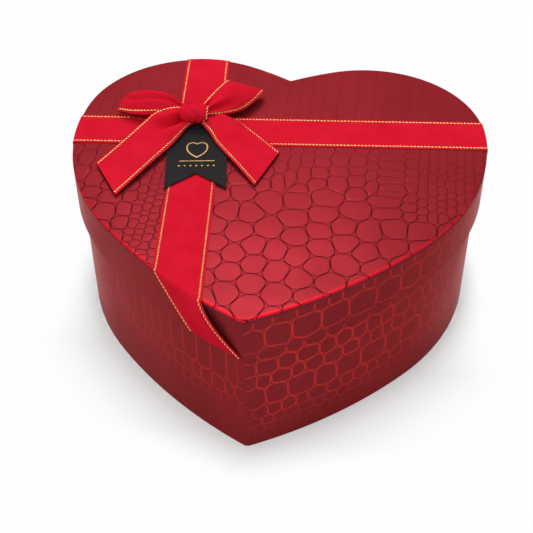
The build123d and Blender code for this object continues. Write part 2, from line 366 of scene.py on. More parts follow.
@dataclass(frozen=True)
class RibbonWeave(Finish):
    """Ribbed ribbon, with ribs across its length and fine threads along it."""

    shade: Colour = (0.63, 0.008, 0.024)
    light: Colour = (0.78, 0.014, 0.038)
    rib_pitch: float = 1.1 * MM
    rib_height: float = 0.05 * MM
    rib_shading_share: float = 0.4
    warp_angle: float = 420.0
    warp_share: float = 0.12

    def build(self, graph: NodeGraph) -> None:
        """Make the nodes.

        Args:
            graph: The new material's nodes.
        """
        across, along = graph.chart()
        turn = graph.maths("MULTIPLY", along, 2 * math.pi / self.rib_pitch)
        rib = graph.span(graph.maths("SINE", turn), (-1.0, 1.0))
        warp = graph.maths("SINE", graph.maths("MULTIPLY", across, self.warp_angle))
        cloth = graph.maths("ADD", rib, graph.maths("MULTIPLY", warp, self.warp_share))
        tone = graph.span(graph.noise(70.0, 4.0))
        # painted shade and highlight: the ribs' crests are painted lighter and their troughs darker,
        # following the bump
        tone = graph.maths("MULTIPLY", tone, 1 - self.rib_shading_share)
        tone = graph.maths("ADD", tone, graph.maths("MULTIPLY", rib, self.rib_shading_share))
        graph.surface(
            base_color=graph.blend(tone, self.shade, self.light),
            roughness=graph.span(rib, FULL_SPAN, (0.5, 0.4)),
            specular_ior_level=0.0,
            normal=graph.bump(cloth, self.rib_height, 0.5),
        )


@dataclass(frozen=True)
class GoldMetal(Finish):
    """Gold thread or foil, a little worn; on the thread, a painted glint on top of each twist and painted
    shade between the twists.
    """

    shade: Colour
    glint: Colour
    gloss: Pair

    def build(self, graph: NodeGraph) -> None:
        """Make the nodes.

        Args:
            graph: The new material's nodes.
        """
        wear = graph.noise(850.0, 3.0)
        # painted highlight and shade: the bead attribute pushes the top of each twist to the glint colour and
        # leaves the rest near the shade colour
        bright = graph.maths("ADD", graph.span(wear, (0.35, 0.65), (0.0, 0.4)), graph.attribute(PAINTED_BEAD_GLINT))
        graph.surface(
            base_color=graph.blend(graph.span(bright, (0.2, 1.2)), self.shade, self.glint),
            metallic=0.85,
            roughness=graph.span(wear, NOISE_SPAN, self.gloss),
            normal=graph.bump(graph.noise(3000.0, 2.0), 0.02 * MM, 0.3),
        )


@dataclass(frozen=True)
class SetGlue(Finish):
    """Clear glue that has set, a little cloudy."""

    shade: Colour = (0.80, 0.72, 0.52)
    cloud: Colour = (0.88, 0.84, 0.70)

    def build(self, graph: NodeGraph) -> None:
        """Make the nodes.

        Args:
            graph: The new material's nodes.
        """
        cloudy = graph.noise(260.0, 3.0)
        graph.surface(
            base_color=graph.blend(cloudy, self.shade, self.cloud),
            roughness=graph.span(cloudy, NOISE_SPAN, (0.25, 0.4)),
            subsurface_weight=0.3,
            subsurface_scale=1.0 * MM,
        )


@dataclass(frozen=True)
class StudioFloor(Finish):
    """Pale floor that reads as white to the camera far from the box and takes the box's shadow; nearer the
    box less white is mixed in, a painted shadow that darkens it.
    """

    shade: float = 0.72
    fade: float = 45 * MM
    lift: Pair = (0.32, 0.98)

    def build(self, graph: NodeGraph) -> None:
        """Make the nodes.

        Args:
            graph: The new material's nodes.
        """
        graph.surface(base_color=(self.shade, self.shade, self.shade), roughness=0.9)
        # painted shadow: the nearer the box, the less white the camera sees mixed in, so the floor darkens
        # round the box besides its real shadow
        near = graph.span(graph.attribute(AWAY), (0.0, self.fade), (1.0, 0.0))
        lift = graph.span(graph.maths("MULTIPLY", near, near), (1.0, 0.0), self.lift)
        share = graph.maths("MULTIPLY", graph.shown(), lift)
        mixed = graph.add("MixShader", {0: share, 1: graph.shader.outputs[0], 2: graph.add("Emission", {})})
        graph.put(graph.nodes["Material Output"].inputs["Surface"], mixed)


# lid-top copy of the embossed paper: pressed lines dark, as painted shade in the grooves
TOP_PAPER = EmbossedPaper(
    "top_paper", dull=(0.24, 0.016, 0.022), bright=(0.28, 0.018, 0.026), line=(0.045, 0.003, 0.006)
)
# wall copy of the embossed paper, coloured for how the walls are lit: cells a little darker as painted shade,
# pressed lines light red as painted highlight on the grooves
WALL_PAPER = EmbossedPaper(
    "wall_paper",
    dull=(0.207, 0.019, 0.0235),
    bright=(0.246, 0.0224, 0.028),
    line=(0.627, 0.038, 0.0336),
    crackle=0.09,
)
PAPER_CORE = PlainPaper("paper_core", shade=(0.11, 0.04, 0.055), fleck=(0.08, 0.03, 0.04), gleam=0.05)
LINING = PlainPaper("ivory_lining", shade=(0.80, 0.75, 0.66), fleck=(0.74, 0.69, 0.59))
BOTTOM_PAPER = PlainPaper("underside_paper", shade=(0.26, 0.018, 0.028), fleck=(0.20, 0.014, 0.022))
KRAFT_TAPE = PlainPaper("kraft_tape", shade=(0.58, 0.43, 0.27), fleck=(0.48, 0.34, 0.20))
TAG_CARD = PlainPaper("black_card", shade=(0.014, 0.0125, 0.0135), fleck=(0.020, 0.018, 0.019), gleam=0.1)
PAD_FOAM = PlainPaper("black_foam", shade=(0.014, 0.013, 0.013), fleck=(0.022, 0.020, 0.020), gleam=0.1)
GREY_BOARD = RawBoard("grey_board")
RIBBON_WEAVE = RibbonWeave("ribbon_weave")
# the thread's shade colour is the painted shade between its twists, and its glint colour the painted
# highlight on them
GOLD_THREAD = GoldMetal("gold_thread", shade=(0.40, 0.06, 0.02), glint=(0.95, 0.62, 0.25), gloss=(0.24, 0.4))
GOLD_FOIL = GoldMetal("gold_foil", shade=(0.48, 0.29, 0.11), glint=(0.72, 0.50, 0.22), gloss=(0.2, 0.32))
SET_GLUE = SetGlue("set_glue")


def add_piece(
    mesh: Mesh,
    body: Body,
    finishes: Sequence[Finish],
    nodes: Sequence[str] = (),
) -> bpy.types.Object:
    """Put a mesh into the scene as one piece of the box.

    Args:
        mesh: The piece's mesh, which also names it.
        body: Body that it rides on.
        finishes: Finishes of its material slots, in order.
        nodes: CAD nodes that it stands for.

    Returns:
        The piece.
    """
    piece = bpy.data.objects.new(mesh.name, mesh)
    bpy.context.scene.collection.objects.link(piece)
    for finish in finishes:
        mesh.materials.append(finish.material())
    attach(piece, body.value)
    if nodes:
        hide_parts(*nodes)
    LOG.info("%s: %d faces on %s", piece.name, len(mesh.polygons), body.value)
    return piece


@dataclass(frozen=True)
class Arc:
    """One round stretch of the outline, between two angles in radians."""

    centre: Vector
    radius: float
    start: float
    end: float
    outward: float = 1.0

    @property
    def length(self) -> float:
        """Length along the arc."""
        return abs(self.end - self.start) * self.radius

    def at(self, share: float) -> tuple[Vector, Vector]:
        """One place on the arc.

        Args:
            share: How far along the arc, from 0 to 1.

        Returns:
            The place and the way out of the box there, in plan.
        """
        ray = unit(self.start + (self.end - self.start) * share)
        return self.centre + ray * self.radius, ray * self.outward


@dataclass(frozen=True)
class HeartOutline:
    """The heart in plan: four tangent arcs a side, with rounding at the point and the notch."""

    inset: float = 0.0
    tip_radius: float = 1.0 * MM
    lobe_offset: float = 47.3 * MM
    lobe_radius: float = 62.2 * MM
    shoulder_radius: float = 174.6 * MM
    hip_radius: float = 120.7 * MM
    flank_radius: float = 261.7 * MM
    shoulder_angle: float = math.radians(112.8)
    hip_angle: float = math.radians(7.5)
    flank_angle: float = math.radians(-41.5)
    notch_radius: float = 1.2 * MM
    sharpest: float = 0.05 * MM
    meet_steps: int = 1200
    halvings: int = 30

    def centres(self, lobe_line: float) -> tuple[Vector, Vector, Vector, Vector]:
        """Centres of the right half's arcs.

        Args:
            lobe_line: The lobes' centres lie on this y.

        Returns:
            Centres of the shoulder, lobe, hip and flank.
        """
        lobe = Vector((self.lobe_offset, lobe_line))
        shoulder = lobe - unit(self.shoulder_angle) * (self.shoulder_radius - self.lobe_radius)
        hip = lobe - unit(self.hip_angle) * (self.hip_radius - self.lobe_radius)
        flank = hip - unit(self.flank_angle) * (self.flank_radius - self.hip_radius)
        return shoulder, lobe, hip, flank

    @cached_property
    def lobe_line(self) -> float:
        """The y of the lobes' centres, which puts the outline's middle on the origin."""
        flank = self.centres(0.0)[3]
        tip_drop = math.sqrt(self.flank_radius**2 - flank.x**2) - flank.y
        return (tip_drop - self.lobe_radius) / 2

    @lru_cache(maxsize=None)
    def arcs(self, depth: float) -> tuple[Arc, ...]:
        """The right half's arcs, from the notch to the point.

        Args:
            depth: How far inside this outline.

        Returns:
            The arcs at that depth.
        """
        inset = self.inset + depth
        shoulder, lobe, hip, flank = self.centres(self.lobe_line)
        reach = self.shoulder_radius + self.notch_radius
        notch = Vector((0.0, shoulder.y + math.sqrt(reach**2 - shoulder.x**2)))
        tip_radius = max(self.tip_radius - depth, self.sharpest)
        reach = self.flank_radius - inset - tip_radius
        tip = Vector((0.0, flank.y - math.sqrt(reach**2 - flank.x**2)))
        first = bearing(notch - shoulder)
        last = bearing(tip - flank)
        front = -math.pi / 2
        return (
            Arc(notch, self.notch_radius + inset, front, first - math.pi, -1.0),
            Arc(shoulder, self.shoulder_radius - inset, first, self.shoulder_angle),
            Arc(lobe, self.lobe_radius - inset, self.shoulder_angle, self.hip_angle),
            Arc(hip, self.hip_radius - inset, self.hip_angle, self.flank_angle),
            Arc(flank, self.flank_radius - inset, self.flank_angle, last),
            Arc(tip, tip_radius, last, front),
        )

    @cached_property
    def marks(self) -> list[float]:
        """Distances from the notch at which the right half's arcs begin, and its whole length."""
        return list(accumulate((arc.length for arc in self.arcs(0.0)), initial=0.0))

    @property
    def length(self) -> float:
        """Length all round."""
        return 2 * self.marks[-1]

    def at(self, distance: float, depth: float = 0.0) -> tuple[Vector, Vector]:
        """One place on the outline.

        Args:
            distance: From the notch, round the right lobe first.
            depth: How far inside the outline.

        Returns:
            The place and the way out of the box there, in plan.
        """
        half = self.marks[-1]
        along = min(max(distance, 0.0), 2 * half)
        mirrored = along > half
        if mirrored:
            along = 2 * half - along
        index = min(bisect.bisect_right(self.marks, along), len(self.marks) - 1) - 1
        share = (along - self.marks[index]) / (self.marks[index + 1] - self.marks[index])
        place, outward = self.arcs(round(depth, 8))[index].at(share)
        if mirrored:
            return Vector((-place.x, place.y)), Vector((-outward.x, outward.y))
        return place, outward

    def spaced(self, count: int, depth: float = 0.0) -> list[tuple[Vector, Vector]]:
        """So many places round the outline, at a depth inside it, with the way out at each."""
        return [self.at(self.length * index / count, depth) for index in range(count)]

    def meet(self, origin: Vector, way: Vector) -> float:
        """Where a line in plan leaves the heart.

        Args:
            origin: A place inside.
            way: Direction of the line.

        Returns:
            Distance along the outline.
        """
        side = Vector((-way.y, way.x))
        nearest = (math.inf, 0.0)
        for index in range(self.meet_steps):
            distance = self.length * index / self.meet_steps
            place = self.at(distance)[0] - origin
            if place.dot(way) > 0:
                nearest = min(nearest, (abs(place.dot(side)), distance))
        low = nearest[1] - self.length / self.meet_steps
        high = nearest[1] + self.length / self.meet_steps
        low_side = (self.at(low)[0] - origin).dot(side)
        for _ in range(self.halvings):
            middle = (low + high) / 2
            middle_side = (self.at(middle)[0] - origin).dot(side)
            if (middle_side > 0) == (low_side > 0):
                low = middle
            else:
                high = middle
        return (low + high) / 2


def finder_of(places: Sequence[Vector]) -> KDTree:
    """Search tree over places in plan.

    Args:
        places: The places.

    Returns:
        The tree, which finds their numbers.
    """
    tree = KDTree(len(places))
    for index, place in enumerate(places):
        tree.insert(place.to_3d(), index)
    tree.balance()
    return tree


LID_OUTLINE = HeartOutline()
BASE_OUTLINE = HeartOutline(inset=3.0 * MM, tip_radius=4.0 * MM)
FEWEST_CORNERS = 6

# How scales vary, as shares of their size
SIZE_SPREAD = (0.72, 1.3)
FRONT_SPREAD = (-0.4, 0.4)
SIDE_SPREAD = (-0.1, 0.1)
MIDDLE_SPREAD = (0.44, 0.56)
HEAD_START = (0.0, 0.45)
LEAST_GAP_SQUARED = 0.62


@dataclass(frozen=True)
class ScaleSeed:
    """Middle of one scale, with its width and height."""

    place: Vector
    size: Pair


@dataclass(frozen=True)
class ScaleCourse:
    """One row of scales along a wall: its height and a scale's width near the heart's point (mm)."""

    height: float
    width: float


@dataclass(frozen=True)
class ScaleColumn:
    """One column of scales on the lid: its middle and width, a scale's length and its front end (mm)."""

    middle: float
    width: float
    length: float
    front: float


@dataclass
class ScaleField:
    """Crocodile scales grown round seeds on a flat sheet."""

    seeds: list[ScaleSeed]
    corner_cut: float
    relaxing: int = 0
    least_side: float = 1.0 * MM

    def borders(self) -> Lines:
        """Straight-sided border of each seed's scale.

        Returns:
            Convex borders that don't overlap.
        """
        near = Buckets()
        for index, seed in enumerate(self.seeds):
            near.add(index, seed.place)
        found = []
        for index, seed in enumerate(self.seeds):
            width, height = seed.size
            border = [
                seed.place + Vector((width * x, height * y)) for x, y in ((-1, -1), (1, -1), (1, 1), (-1, 1))
            ]
            for other, _ in near.around(*seed.place):
                if other != index:
                    border = clip(border, *boundary(seed, self.seeds[other]))
            found.append(border)
        return found

    def scales(self) -> Lines:
        """Rounded scales.

        Returns:
            One closed border a scale.
        """
        for _ in range(self.relaxing):
            self.seeds = [
                ScaleSeed(middle_of(border), seed.size)
                for seed, border in zip(self.seeds, self.borders())
                if len(border) > 2
            ]
        return [
            rounded(border, self.corner_cut, self.least_side) for border in self.borders() if len(border) > 2
        ]


def scattered(
    low: Pair, high: Pair, size: Pair, placed: list[ScaleSeed], source: random.Random, tries: int
) -> list[ScaleSeed]:
    """Seeds thrown over a rectangle so that they keep a scale's distance from each other.

    Args:
        low: The rectangle's low corner.
        high: Its high corner.
        size: Width and height of a scale.
        placed: Seeds that are there already.
        source: Seeded random numbers.
        tries: How many seeds are thrown.

    Returns:
        All the seeds.
    """
    seeds = list(placed)
    near = Buckets()
    for index, seed in enumerate(seeds):
        near.add(index, seed.place)
    for _ in range(tries):
        place = Vector((source.uniform(low[0], high[0]), source.uniform(low[1], high[1])))
        if all(
            ((place.x - other.x) / size[0]) ** 2 + ((place.y - other.y) / size[1]) ** 2 > LEAST_GAP_SQUARED
            for _, other in near.around(*place)
        ):
            near.add(len(seeds), place)
            seeds.append(ScaleSeed(place, size))
    return seeds


def in_columns(columns: Sequence[ScaleColumn], back: float, source: random.Random) -> list[ScaleSeed]:
    """Seeds in columns that run back over the lid.

    Args:
        columns: The columns.
        back: How far back they run.
        source: Seeded random numbers.

    Returns:
        The seeds.
    """
    seeds = []
    for column in columns:
        level = (column.front + source.uniform(*FRONT_SPREAD) * column.length) * MM
        while level < back:
            length = column.length * source.uniform(*SIZE_SPREAD) * MM
            across = column.middle + column.width * source.uniform(*SIDE_SPREAD)
            seeds.append(ScaleSeed(Vector((across * MM, level + length / 2)), (column.width * MM, length)))
            level += length
    return seeds


def coursed(
    courses: Sequence[ScaleCourse], low: float, start: float, end: float, far: Pair, source: random.Random
) -> list[ScaleSeed]:
    """Seeds in rows along one wall, from the heart's point on.

    Args:
        courses: The rows, from the lowest up.
        low: Level of the lowest row's foot.
        start: Distance of the heart's point along the sheet.
        end: Distance of the wall's far end.
        far: Distance from the point by which scales have narrowed, and the share of the width left there.
        source: Seeded random numbers.

    Returns:
        The seeds.
    """
    seeds = []
    way = 1 if end > start else -1
    level = low
    for course in courses:
        height = course.height * MM
        travelled = -source.uniform(*HEAD_START) * course.width * MM
        while travelled < abs(end - start):
            narrow = 1 - (1 - far[1]) * soft_step(travelled / far[0])
            width = course.width * narrow * source.uniform(*SIZE_SPREAD) * MM
            middle = level + height * source.uniform(*MIDDLE_SPREAD)
            place = Vector((start + way * (travelled + width / 2), middle))
            seeds.append(ScaleSeed(place, (width, height)))
            travelled += width
        level += height
    return seeds


class Buckets:
    """Places sorted into squares, so that near ones are found quickly."""

    def __init__(self, side: float = 24 * MM) -> None:
        """Start with no places.

        Args:
            side: Side of a square.
        """
        self.side = side
        self.squares: dict[tuple[int, int], list[tuple[int, Vector]]] = {}

    def key(self, x: float, y: float) -> tuple[int, int]:
        """The square of a place."""
        return math.floor(x / self.side), math.floor(y / self.side)

    def add(self, index: int, place: Vector) -> None:
        """Keep a place under its number."""
        self.squares.setdefault(self.key(*place), []).append((index, place))

    def around(self, x: float, y: float) -> list[tuple[int, Vector]]:
        """Places in a square and the eight around it.

        Args:
            x: Place to look around.
            y: Place to look around.

        Returns:
            Numbers and places.
        """
        column, row = self.key(x, y)
        return [
            item
            for across in (-1, 0, 1)
            for up in (-1, 0, 1)
            for item in self.squares.get((column + across, row + up), [])
        ]


def boundary(seed: ScaleSeed, other: ScaleSeed) -> tuple[Vector, Vector]:
    """Line between two neighbouring scales.

    Args:
        seed: One scale's seed.
        other: The other scale's seed.

    Returns:
        A place on the line and the way across it, towards the other scale.
    """
    way = other.place - seed.place
    reach = 1 / math.hypot(way.x / seed.size[0], way.y / seed.size[1])
    other_reach = 1 / math.hypot(way.x / other.size[0], way.y / other.size[1])
    width = seed.size[0] + other.size[0]
    height = seed.size[1] + other.size[1]
    across = Vector((way.x / width**2, way.y / height**2)).normalized()
    return seed.place + way * (reach / (reach + other_reach)), across


def clip(border: list[Vector], place: Vector, across: Vector) -> list[Vector]:
    """Part of a convex border on the near side of a line.

    Args:
        border: Corners in order.
        place: A place on the line.
        across: Way across the line, out of the part that is kept.

    Returns:
        The corners that are left.
    """
    kept = []
    heights = [(corner - place).dot(across) for corner in border]
    for index, corner in enumerate(border):
        before = border[index - 1]
        high = heights[index]
        high_before = heights[index - 1]
        if (high > 0) != (high_before > 0):
            kept.append(before.lerp(corner, high_before / (high_before - high)))
        if high <= 0:
            kept.append(corner)
    return kept


def rounded(border: list[Vector], cut: float, least_side: float, second_cut: float = 0.25) -> list[Vector]:
    """Border with its corners cut twice, which rounds them.

    Args:
        border: Corners in order.
        cut: Share of each side that the first cut takes.
        least_side: Corners nearer to the last than this are left out.
        second_cut: Share of each side that the second cut takes.

    Returns:
        Corners of the rounded border.
    """
    for share in (cut, second_cut):
        border = [start.lerp(end, part) for start, end in paired(border) for part in (share, 1 - share)]
    kept = [border[0]]
    for corner in border[1:]:
        if (corner - kept[-1]).length >= least_side:
            kept.append(corner)
    return kept if len(kept) >= FEWEST_CORNERS else border


@dataclass(frozen=True)
class PressLine:
    """One line round a scale: how far in from its border, how low it lies and how dark it is."""

    inset: float
    level: float
    press: float


PRESS_LINES = (
    PressLine(0.02 * MM, -0.06 * MM, 0.15),
    PressLine(0.10 * MM, -0.13 * MM, 1.0),
    PressLine(0.36 * MM, -0.15 * MM, 1.0),
    PressLine(0.62 * MM, -0.02 * MM, 0.0),
    PressLine(2.00 * MM, 0.0, 0.0),
)


@dataclass
class FlatSheet:
    """Flat layout of a pressed sheet, before it is folded into place."""

    line_width: float
    least_reach: float = 1.4 * MM
    full_reach: float = 4.0 * MM
    least_width: float = 0.5
    most_inset: float = 0.55
    relief_power: int = 6
    touching: float = 0.01 * MM
    merging: float = 1e-7
    points: list[Vector] = field(default_factory=list)
    edges: list[tuple[int, int]] = field(default_factory=list)
    levels: list[float] = field(default_factory=list)
    presses: list[float] = field(default_factory=list)

    def point(self, place: Vector, level: float = 0.0, press: float = 0.0) -> int:
        """Add one point.

        Args:
            place: Where it lies on the flat sheet.
            level: How far it stands out of the sheet.
            press: How dark the pressed line is there.

        Returns:
            Its number.
        """
        self.points.append(place)
        self.levels.append(level)
        self.presses.append(press)
        return len(self.points) - 1

    def line(
        self, places: Sequence[Vector], closed: bool, level: float = 0.0, presses: Sequence[float] = ()
    ) -> list[int]:
        """Add a line that the mesh keeps as edges.

        Args:
            places: Its places in order.
            closed: Whether the last place joins the first.
            level: How far it stands out of the sheet.
            presses: How dark the line is at each place.

        Returns:
            The points' numbers.
        """
        shades = presses or [0.0] * len(places)
        numbers = [self.point(place, level, press) for place, press in zip(places, shades)]
        self.edges += pairwise(numbers)
        if closed:
            self.edges.append((numbers[-1], numbers[0]))
        return numbers

    def scale(
        self,
        border: list[Vector],
        depth: float,
        side_weight: float,
        cuts: Sequence[float] = (),
        tip: float = -1.0,
    ) -> bool:
        """Press one scale into the sheet.

        Args:
            border: Its rounded border.
            depth: Share of the full depth and darkness.
            side_weight: How much fainter its front and back lines are than its sides, whose lines run front
                to back and are painted darker as painted shade.
            cuts: Rises at which the scale is only cut off, without a line.
            tip: Distance round the sheet at which it is only cut off too.

        Returns:
            Whether the scale is large enough to be pressed.
        """
        centre = middle_of(border)
        least = min((corner - centre).length for corner in border)
        if least < self.least_reach:
            return False
        for line in PRESS_LINES:
            inset = line.inset * self.line_width * min(max(least / self.full_reach, self.least_width), 1.0)
            if inset > self.most_inset * least:
                continue
            places = []
            presses = []
            for corner in border:
                inward = (centre - corner).normalized()
                places.append(corner + inward * inset)
                gaps = (corner.x - tip, *(corner.y - rise for rise in cuts))
                cut = any(abs(gap) < self.touching for gap in gaps)
                # painted shade: lines at a scale's sides, which run front to back, get more of the line
                # colour than its front and back lines
                presses.append(0.0 if cut else line.press * depth * (1 - side_weight * (1 - abs(inward.x))))
            self.line(places, True, line.level * depth**self.relief_power, presses)
        self.point(centre)
        return True

    def triangles(
        self, border: list[int]
    ) -> tuple[list[Vector], list[float], list[float], list[list[int]], dict[int, int]]:
        """Mesh the sheet inside a border.

        Args:
            border: Numbers of the border's points in order.

        Returns:
            Places, levels and presses of the mesh's points, its faces, and where each first point went.
        """
        places, edges, faces, origins, edge_origins, owners = delaunay_2d_cdt(
            self.points, self.edges, [border], 1, self.merging, True
        )
        sources = [list(group) for group in origins]
        for edge, lines in zip(edges, edge_origins):
            ends = [end for line in lines if line < len(self.edges) for end in self.edges[line]]
            for corner in edge:
                if not origins[corner]:
                    sources[corner] += ends
        kept = [face for face, owner in zip(faces, owners) if owner]
        used = sorted({corner for face in kept for corner in face})
        fresh = {old: new for new, old in enumerate(used)}
        levels = [min((self.levels[number] for number in sources[old]), default=0.0) for old in used]
        presses = [max((self.presses[number] for number in sources[old]), default=0.0) for old in used]
        moved = {number: fresh[old] for old in used for number in origins[old]}
        kept = [[fresh[corner] for corner in face] for face in kept]
        return [places[old] for old in used], levels, presses, kept, moved


@dataclass(frozen=True)
class FoldPath:
    """Cross-section of a wrapped paper's outer face, as depths into the wall and levels, fold by fold.

    The paper's outer side is on the left of the path.
    """

    corners: tuple[Pair, ...]
    start: float
    radius: float = 0.3 * MM

    @cached_property
    def places(self) -> list[Vector]:
        """Depth and level of each point of the path, with three points round each fold."""
        corners = [Vector(corner) for corner in self.corners]
        places = [corners[0]]
        for before, corner, after in zip(corners, corners[1:], corners[2:]):
            entry = corner + (before - corner).normalized() * self.radius
            leave = corner + (after - corner).normalized() * self.radius
            middle = (entry + leave) / 2
            places += [entry, middle.lerp(corner, math.sqrt(2) - 1), leave]
        return places + [corners[-1]]

    @cached_property
    def rises(self) -> list[float]:
        """Distance along the paper at each point of the path."""
        steps = ((after - before).length for before, after in pairwise(self.places))
        return list(accumulate(steps, initial=self.start))

    @cached_property
    def outward(self) -> list[Vector]:
        """The way out of the paper at each point of the path."""
        ways = []
        for before, after in pairwise(self.places):
            way = (after - before).normalized()
            ways.append(Vector((-way.y, way.x)))
        joined = [(first + second).normalized() for first, second in pairwise(ways)]
        return [ways[0], *joined, ways[-1]]

    def at(self, rise: float) -> tuple[Vector, Vector]:
        """One place on the path.

        Args:
            rise: Distance along the paper.

        Returns:
            Depth and level, and the way out of the paper.
        """
        index = min(max(bisect.bisect_right(self.rises, rise), 1), len(self.rises) - 1)
        low = self.rises[index - 1]
        share = (rise - low) / (self.rises[index] - low)
        place = self.places[index - 1].lerp(self.places[index], share)
        return place, self.outward[index - 1].lerp(self.outward[index], share).normalized()

    def stretches(self, least: float) -> list[Pair]:
        """Straight stretches of the paper that are at least so long."""
        return [(low, high) for low, high in pairwise(self.rises) if high - low >= least]


@dataclass
class WrapPaper:
    """Embossed paper wrapped round a heart-shaped wall and turned in at its edges."""

    name: str
    outline: HeartOutline
    path: FoldPath
    scales: Lines
    pattern_length: float
    paper: float = 0.25 * MM
    step: float = 2.0 * MM
    fine_step: float = 0.4 * MM
    seam_gap: float = 0.01 * MM
    clear_of_fold: float = 0.25 * MM
    bend_margin: float = 0.9 * MM
    bare_margin: float = 0.1 * MM
    least_scale: float = 2.5 * MM
    faint: Pair = (4 * MM, 30 * MM)
    low_share: float = 0.26
    far: float = 170 * MM
    far_share: float = 0.4
    left_share: float = 0.65
    left_drop: float = 11 * MM
    bare_above: float = math.inf
    tip_reach: float = 4.0 * MM
    line_width: float = 1.35
    least_stretch: float = 4 * MM
    evenness: Pair = (0.6, 1.0)
    seed: int = 3

    def place(self, flat: Vector, level: float) -> Vector:
        """Place on the box of a point of the flat sheet.

        Args:
            flat: Distance round the pattern and along the paper.
            level: How far the point stands out of the paper.

        Returns:
            The place.
        """
        section, outward = self.path.at(flat.y)
        section = section + outward * level
        distance = flat.x / self.pattern_length * self.outline.length
        plan = self.outline.at(distance, section.x)[0]
        return Vector((plan.x, plan.y, section.y))

    @property
    def tip(self) -> float:
        """Where the sheet passes the heart's point."""
        return self.pattern_length / 2

    def clearness(self, middle: Vector) -> float:
        """How clearly a scale is pressed: less low down, away from the point and on the left flank.

        Args:
            middle: The scale's middle.

        Returns:
            Share of the full depth.
        """
        left = middle.x > self.tip
        rise = middle.y - (self.left_drop if left else 0.0)
        high = soft_between(rise, self.faint)
        away = soft_step(abs(middle.x - self.tip) / self.far)
        share = self.left_share if left else 1.0
        share *= 1 - (1 - self.far_share) * away
        return share * (self.low_share + (1 - self.low_share) * high)

    def steps(self) -> list[float]:
        """Where the folds have points, finer at the point and the notch.

        Returns:
            Distances round the sheet.
        """
        last = self.pattern_length - self.seam_gap
        steps = [self.seam_gap]
        while steps[-1] < last:
            here = steps[-1]
            near = min(abs(here - self.tip), here, self.pattern_length - here)
            steps.append(min(here + (self.fine_step if near < self.tip_reach else self.step), last))
        return steps

    def bend(self, sheet: FlatSheet, border: list[Vector], margin: float) -> None:
        """Put points inside a scale where it bends round the heart's point.

        Args:
            sheet: Sheet that gets them.
            border: The scale's border.
            margin: How far inside the border they keep.
        """
        low = min(corner.y for corner in border)
        high = max(corner.y for corner in border)
        across = self.tip - self.tip_reach
        while across < self.tip + self.tip_reach:
            up = low
            while up < high:
                place = Vector((across, up))
                if all(
                    (end - start).cross(place - start) > margin * (end - start).length
                    for start, end in paired(border)
                ):
                    sheet.point(place)
                up += 2 * self.fine_step
            across += self.fine_step

    def refined(self, border: list[Vector]) -> list[Vector]:
        """Border with more corners where it passes the heart's point.

        Args:
            border: Corners in order.

        Returns:
            The same border.
        """
        finer = []
        for start, end in paired(border):
            near = min(abs(start.x - self.tip), abs(end.x - self.tip)) < self.tip_reach
            parts = math.ceil((end - start).length / self.fine_step) if near else 1
            finer += [start.lerp(end, part / parts) for part in range(parts)]
        return finer

    def layout(self) -> tuple[FlatSheet, list[list[int]]]:
        """Lay the sheet out flat.

        Returns:
            The sheet, and the numbers of the points on each fold line.
        """
        sheet = FlatSheet(self.line_width)
        source = random.Random(self.seed)
        folds = [sheet.line([Vector((x, rise)) for x in self.steps()], False) for rise in self.path.rises]
        for below, above in pairwise(folds):
            sheet.edges += [(below[0], above[0]), (below[-1], above[-1])]
        right = Vector((1, 0))
        up = Vector((0, 1))
        ends = (self.clear_of_fold, self.pattern_length - self.clear_of_fold)
        for low, high in self.path.stretches(self.least_stretch):
            if low < 0 or low >= self.bare_above:
                continue
            cuts = (low + self.clear_of_fold, high - self.clear_of_fold)
            limits = [(up * cuts[1], up), (up * cuts[0], -up)]
            limits += [(right * ends[1], right), (right * ends[0], -right)]
            for border in self.scales:
                for place, way in limits:
                    border = clip(border, place, way)
                rises = [corner.y for corner in border]
                if len(border) < 3:
                    continue
                pressed = False
                if len(border) >= FEWEST_CORNERS and max(rises) - min(rises) > self.least_scale:
                    border = self.refined(border)
                    depth = self.clearness(middle_of(border)) * source.uniform(*self.evenness)
                    pressed = sheet.scale(border, depth, 0.0, cuts, self.tip)
                self.bend(sheet, border, self.bend_margin if pressed else self.bare_margin)
        return sheet, folds

    def mesh(self) -> Mesh:
        """Closed mesh of the folded paper.

        Returns:
            The mesh, with its cut edges and back in the second material slot.
        """
        sheet, folds = self.layout()
        flats, levels, presses, faces, moved = sheet.triangles(rim_of(folds))
        points = [self.place(flat, level) for flat, level in zip(flats, levels)]
        front = [[moved[number] for number in fold] for fold in folds]
        back = []
        for fold in folds:
            back.append(list(range(len(points), len(points) + len(fold))))
            points += [self.place(sheet.points[number], -self.paper) for number in fold]
        closing = []
        for low, high in pairwise(back):
            closing += zip(low, high, high[1:], low[1:])
        for near, far in ((back[0], front[0]), (front[-1], back[-1])):
            closing += zip(near, near[1:], far[1:], far)
        for low, high, back_low, back_high in zip(front, front[1:], back, back[1:]):
            closing.append((low[0], high[0], back_high[0], back_low[0]))
            closing.append((high[-1], low[-1], back_low[-1], back_high[-1]))
        bare = [min(flats[corner].y for corner in face) >= self.bare_above for face in faces]
        presses += [0.0] * (len(points) - len(presses))
        mesh = pressed_mesh(self.name, points, faces, bare, closing, presses)
        mesh.flip_normals()
        return mesh


